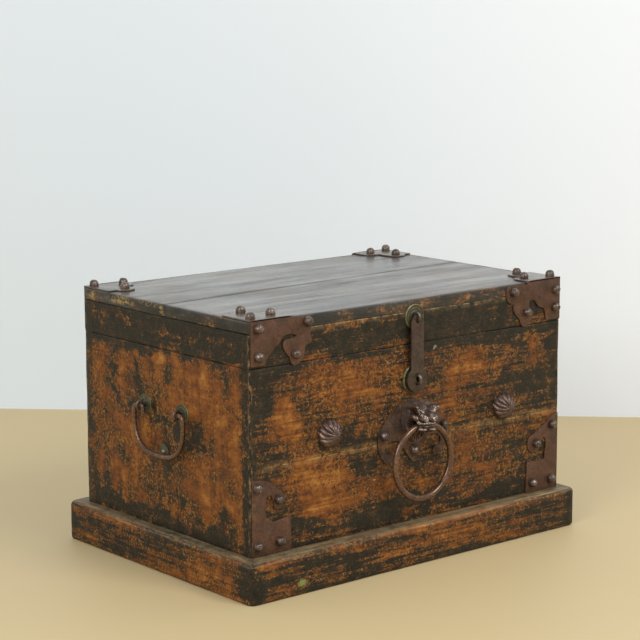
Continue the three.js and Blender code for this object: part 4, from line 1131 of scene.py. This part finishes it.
def face_height(across, up):
    """Height of the beast's face as a share of its depth, with the finer cuts of the casting."""
    u = abs(across)
    # the head, the muzzle with its mouth, the teeth and the lip below them
    height = 0.2 + raised(u, up, 0.48, 1.08 + 0.3 * max(0, up - 0.4), 0.36, 0.44)
    height += raised(u, up, 0.38, 1.06, 0.21, 0.2) + raised(u, up, 0.39, 0.98, 0.018, -0.11)
    height += raised(u, up, 0.455, 0.94, 0.03, 0.06) * abs(cos(pi * u / 0.1428))
    height += raised(u, up, 0.1, 1, 0.1, 0.05) * cos(2 * pi * u / 0.3927)
    height += max(knob(u, up, *each) for each in BROWS)
    for *shape, rise, depth in KNOBS:
        height += knob(u, up, *shape, rise) + groove(knob_away(u, up, *shape), depth)
    # the beard, the pits of the eye and the nostril, and the fine hair on crest and lip
    height += raised(u, up, -0.02, 0.5, 0.17, 0.12) * waves(u, 0.17, 0.3)
    height -= 0.07 * max(0, 1 - knob_away(u, up, 0.4, 0.64, 0.07, 0.04))
    height -= 0.06 * max(0, 1 - knob_away(u, up, 0.09, 0.575, 0.07, 0.03))
    height -= 0.028 * (0.5 + 0.5 * cos(34 * u + 22 * up)) * raised(u - 0.68, up, 0.84, 0.22, 0.1, 1)
    height -= 0.022 * waves(u, 0.13) * raised(u, up, 0.1, 1, 0.09, 1)
    return height


def line_over(points, across):
    """The height of a broken line at a place across."""
    for (low_u, low_v), (high_u, high_v) in zip(points, points[1:]):
        if high_u >= across:
            return low_v + (high_v - low_v) * (across - low_u) / (high_u - low_u)
    return points[-1][1]


def mask_mesh(columns=124, rows=104):
    """The beast's face as a fine relief on a flat back."""
    mesh = bmesh.new()
    grid = []
    for column in range(columns + 1):
        u = 2 * column / columns - 1
        foot, head = line_over(CHIN, abs(u)), line_over(CREST, abs(u))
        line = []
        for row in range(rows + 1):
            climb = row / rows
            v = foot + (head - foot) * (climb + 0.05 * sin(2 * pi * climb))
            on_edge = row in (0, rows) or column in (0, columns)
            out = 0 if on_edge else min(MASK_DEPTH + 0.4, MASK_DEPTH * face_height(u, v))
            line.append(mesh.verts.new((u * MASK_SIZE[0], v * MASK_SIZE[1] + MASK_FOOT, out)))
        grid.append(line)
    for low, high in zip(grid, grid[1:]):
        for row in range(rows):
            mesh.faces.new((low[row], high[row], high[row + 1], low[row + 1]))
    rim = [line[0] for line in grid[:-1]] + grid[-1][:-1]
    rim += [line[-1] for line in grid[:0:-1]] + grid[0][:0:-1]
    mesh.faces.new(rim[::-1])
    bmesh.ops.recalc_face_normals(mesh, faces=mesh.faces)
    return mesh


def mouth_room():
    """The room that the ring sweeps as it turns in the mouth."""
    profile = [(0, -MOUTH_HALF)]
    for i in range(-12, 13):
        x = MOUTH_HALF * i / 12
        arch = sqrt(RING_RADIUS ** 2 - x ** 2)
        profile.append((0.6 + RING_WIRE * RING_RADIUS / arch + RING_RADIUS - arch, x))
    return turned(profile + [(0, MOUTH_HALF)], 40)


def mask():
    """The mask, leaning a little, with the ring's room in its mouth and a clenched shank."""
    room = placed([(mouth_room(), None)], z=RING_OUT, turn=Matrix.Rotation(pi / 2, 4, "Y"))
    face = placed([(mask_mesh(), mask_iron)], z=PLATE + 2 * GAP, turn=Matrix.Rotation(-0.1, 4, "Z"))
    pieces = [
        (carved(face[0][0], room[0][0]), mask_iron),
        (straight(0, MASK_SHANK_Y, MASK_SHANK, CLENCHED, 7), bar_iron),
        (clench(0, MASK_SHANK_Y), bar_iron),
    ]
    object_of("handle_mask", placed(pieces, HANDLE_X, RING_Z), FRONT, "box", 48)
    ring = torus((HANDLE_X, RING_Z - RING_RADIUS, RING_OUT), RING_RADIUS, RING_WIRE, "z", 128, 22, 0.035)
    object_of("handle_ring", [(ring, ring_iron)], FRONT, "ring", 60)


mask()


BOSS_RADIUS = 25
BOSS_HEIGHT = 23
BOSS_VALLEY = 2.7


def ribbed_boss(node, x, z):
    """A boss of swirling ribs that run together at its crown."""
    ribs, steps, bands = 13, 14, 26
    rings = []
    for band in range(bands):
        t = band / bands
        fade = sin(pi * min(1, t + 0.08)) if band else 0
        ring = []
        for i in range(ribs * steps):
            share = i / (ribs * steps)
            valley = (1 - abs(sin(share * ribs * pi))) ** 1.2
            size = 1 - (BOSS_VALLEY / BOSS_RADIUS) * valley * fade
            turn = 2 * pi * share + 0.55 * t
            reach = BOSS_RADIUS * cos(t * pi / 2) * size
            rise = BOSS_HEIGHT * sin(t * pi / 2) * size
            ring.append((reach * cos(turn), reach * sin(turn), rise))
        rings.append(ring)
    pieces = [(shell(rings + [[(0, 0, BOSS_HEIGHT)]]), boss_iron), (straight(0, 0, 3.4, -15, 4), bar_iron)]
    object_of(node, placed(pieces, x, z, GAP), FRONT, "box", 60)


ribbed_boss("boss_left", -197, 262)
ribbed_boss("boss_right", 221, 251)


# Rosettes, staples, hasp, bails and hinges

HASP_X = -1.5
HASP_TOP = 442.5
HASP_DISC = 331
# The hasp's two staples: radius and thickness of the loop, and how far its middle stands out
UPPER_LOOP, UPPER_WIRE, UPPER_OUT = 6.4, 2.2, 9.2
LOWER_LOOP, LOWER_WIRE, LOWER_OUT = 7.6, 2.4, 11.4
EYE_WIRE = 2.1
SHANK = 2.45


def rosette(node, face, x, y, hole, radius, steps, rim_from, body):
    """Concentric mouldings from steps of radius and height, of bright brass from a radius outwards, whose
    paleness on the rim is partly a painted highlight.
    """
    profile = [(hole, 0), (radius, 0)] + steps
    mesh = turned(profile, 72, (x, y, GAP), hole=True)

    def metal(centre):
        # the rim: bright brass, partly a painted highlight
        return rim_brass_and_highlight if hypot(centre.x - x, centre.y - y) > rim_from else green_brass

    object_of(node, [(mesh, metal)], face, body, 35)


def mouldings(shares, radius, height, hole):
    """Smooth steps through shares of a radius and a height, down to a hole."""
    curve = catmull([(u * radius, v * height, 0) for u, v in shares], 4)
    steps = [(max(x, 0), max(y, 0)) for x, y, z in curve]
    return steps + [(hole, steps[-1][1])]


def hasp_rosette(node, z, radius, height, hole, rim, body):
    shares = [(1, 0.5), (0.92, 0.9), (0.8, 0.5), (0.62, 0.85), (0.52, 0.55), (0.43, 0.95)]
    steps = mouldings(shares, radius, height, hole)
    rosette(node, FRONT, HASP_X, z, hole, radius, steps, radius * rim, body)


hasp_rosette("hasp_upper_rosette", HASP_TOP, 22, 3.2, 6.75, 0.93, "lid")
hasp_rosette("hasp_lower_rosette", HASP_DISC, 27, 4.2, 7.6, 0.86, "box")


def staple(node, face, x, y, radius, bar, out, body):
    """A wire loop on a shank that goes through the wall and is clenched inside."""
    shank = straight(x, y, SHANK, CLENCHED, out - radius)
    parts = [torus((x, y, out), radius, bar, "x"), shank, clench(x, y)]
    object_of(node, [(part, eye_iron) for part in parts], face, body)


staple("hasp_upper_staple", FRONT, HASP_X, HASP_TOP, UPPER_LOOP, UPPER_WIRE, UPPER_OUT, "lid")
staple("hasp_lower_staple", FRONT, HASP_X, HASP_DISC, LOWER_LOOP, LOWER_WIRE, LOWER_OUT, "box")


def strap():
    """The hasp's strap: a neck with a round head and hole, and a slotted disc."""
    disc, neck, corner, thickness, hole_radius = 23.0, 14.5, 3.7, 3, 3.9
    axis = HASP_TOP - UPPER_LOOP - HASP_DISC
    head = axis + 10 - neck
    meet = atan2(sqrt(disc ** 2 - neck ** 2), neck)
    outline = circle(0, 0, disc, pi - meet, 2 * pi + meet, 48)
    outline += circle(0, head, neck, 0, pi, 24)
    hole = circle(0, axis - (hole_radius - UPPER_WIRE - 0.35), hole_radius, 0, -2 * pi * 27 / 28, 27)
    half = LOWER_LOOP + LOWER_WIRE + 0.6
    slot = circle(0, half - corner, corner, 0, pi, 12)
    slot += circle(0, corner - half, corner, pi, 2 * pi, 12)
    mesh = plate_mesh([outline, hole, slot[::-1]], thickness, 0.5)
    pieces = placed([(mesh, strap_iron)], HASP_X, HASP_DISC, UPPER_OUT - thickness / 2)
    object_of("hasp_strap", pieces, FRONT, "hasp", 38)


strap()


BAIL_Z = 288
BAIL_HALF = 55
BAIL_OUT = 12.2
BAIL_WIRE = 4.25
BAIL_REACH = 72
BAIL_DROP = 81.5
STRIKER_Z = 212


def end_bail(side, face):
    """An end's bail in two eye staples over rosettes, with the plate that it strikes."""
    hole, radius, height = 2.8, 18.5, 2.7
    steps = mouldings([(0.94, 0.8), (0.78, 0.5), (0.58, 1), (0.4, 0.6), (0.28, 0.9)], radius, height, hole)
    loop = BAIL_WIRE + 0.55 + EYE_WIRE
    for end, x in (("a", -BAIL_HALF), ("b", BAIL_HALF)):
        rosette(f"{side}_rosette_{end}", face, x, BAIL_Z, hole, radius, steps, 16.6, "box")
        staple(f"{side}_eye_staple_{end}", face, x, BAIL_Z, loop, EYE_WIRE, BAIL_OUT, "box")
    arm = [(0.86, 0), (0.965, -0.03), (1, -0.13), (1, -0.36), (0.94, -0.6), (0.78, -0.82), (0.45, -0.965)]
    half = [(44, -13), (46.125, -4.25), (48.25, 0), (BAIL_HALF, 0)]
    half += [(u * BAIL_REACH, v * BAIL_DROP) for u, v in arm + [(0, -1)]]
    path = catmull([(x, BAIL_Z + y, BAIL_OUT) for x, y in mirrored(half)], 7)
    bar = wire(path, BAIL_WIRE - 0.05, 18, squeeze=lambda t: 0.93 + 0.07 * sin(pi * t))
    object_of(side + "_bail", [(bar, ring_iron)], face, side + "_bail", 60)
    steps = [(14, 0.9), (12.6, 1.25), (9, 1.35), (7.5, 1.8), (hole, 1.8)]
    rosette(side + "_striker_plate", face, 0, STRIKER_Z, hole, 14, steps, 99, "box")
    head = stud_mesh(0, STRIKER_Z, 300, 5, 3.4, 1.8 + 2 * GAP)
    nail = [(head, eye_iron), (straight(0, STRIKER_Z, 2.4, -12, 3), eye_iron)]
    object_of(side + "_striker_nail", nail, face, "box")


end_bail("left", LEFT)
end_bail("right", RIGHT)


HINGE_Z = 381.5
HINGE_OUT = 10
LOOP_WIRE = 2.3


def back_hinge(side, x):
    """A wire eye in the wall and the loop through it whose legs run into the lid."""
    staple("hinge_eye_" + side, BACK, x, HINGE_Z, LOOP_WIRE + 0.35 + EYE_WIRE, EYE_WIRE, HINGE_OUT, "box")
    bar, out, inside = LOOP_WIRE, HINGE_OUT, -(WALL + GAP + LOOP_WIRE)
    half = [
        (-9, 40, inside), (-9, 27 + bar, inside), (-9, 27, -WALL), (-9, 27, -WALL / 2), (-9, 27, 0),
        (-9, 27 - bar, out / 2), (-9, 13.5, out), (-9, bar, out), (-9 + bar, 0, out), (0, 0, out),
    ]
    path = catmull([(x + a, HINGE_Z + b, c) for a, b, c in mirrored(half)], 6)
    loop = wire(path, bar - 0.05)
    object_of("hinge_loop_" + side, [(loop, eye_iron)], BACK, "lid", 60)


back_hinge("left", 215)
back_hinge("right", -215)


# The solid that stays

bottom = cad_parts["bottom_board"].data
bottom.materials.clear()
bottom.materials.append(raw_wood)


# Floor, wall and light

WALL_FOOT = Vector((0.649, 0.79))
WALL_RUN = Vector((0.716, -0.698))


def stage_plane(name, corners, colour, roughness, painted_light_far_colour=None):
    """A floor or a wall; the wall's colour grows paler along it as painted light."""
    data = bpy.data.meshes.new(name)
    data.from_pydata(corners, [], [(0, 1, 2, 3)])
    tree = Tree(name)
    tree.colour = colour
    if painted_light_far_colour:
        x, y, z = (tree.place * (*WALL_RUN, 0)).split()
        # painted light: the wall grows paler along its run
        tree.paint((x + y).between(-0.7, 1.1), painted_light_far_colour)
    data.materials.append(tree.shade({"Roughness": roughness}))
    added(name, data)


stage_plane("floor", [(-9, -9, 0), (9, -9, 0), (9, 9, 0), (-9, 9, 0)], (199, 178, 134), 0.55)
left, right = WALL_FOOT - 7 * WALL_RUN, WALL_FOOT + 7 * WALL_RUN
wall_corners = [(*left, 0), (*right, 0), (*right, 5), (*left, 5)]
# the wall, with painted light making it paler along its run
stage_plane("wall", wall_corners, (221, 230, 236), 0.9, (238, 242, 247))


def area_light(name, place, aim, size, power):
    data = bpy.data.lights.new(name, "AREA")
    data.shape = "DISK"
    data.size = size
    data.energy = power
    light = added(name, data)
    light.location = place
    light.rotation_euler = (Vector(aim) - Vector(place)).to_track_quat("-Z", "Y").to_euler()


area_light("key", (0.6, -3.4, 3.2), (0, 0, 0.2), 1.8, 90)
area_light("fill", (-3.4, -1.2, 2.4), (0, 0, 0.25), 2.0, 60)

world = bpy.data.worlds.new("world")
scene.world = world
world.use_nodes = True
background = world.node_tree.nodes["Background"]
background.inputs["Color"].default_value = srgb(240, 243, 246)
background.inputs["Strength"].default_value = 0.8

scene.view_settings.view_transform = "Standard"
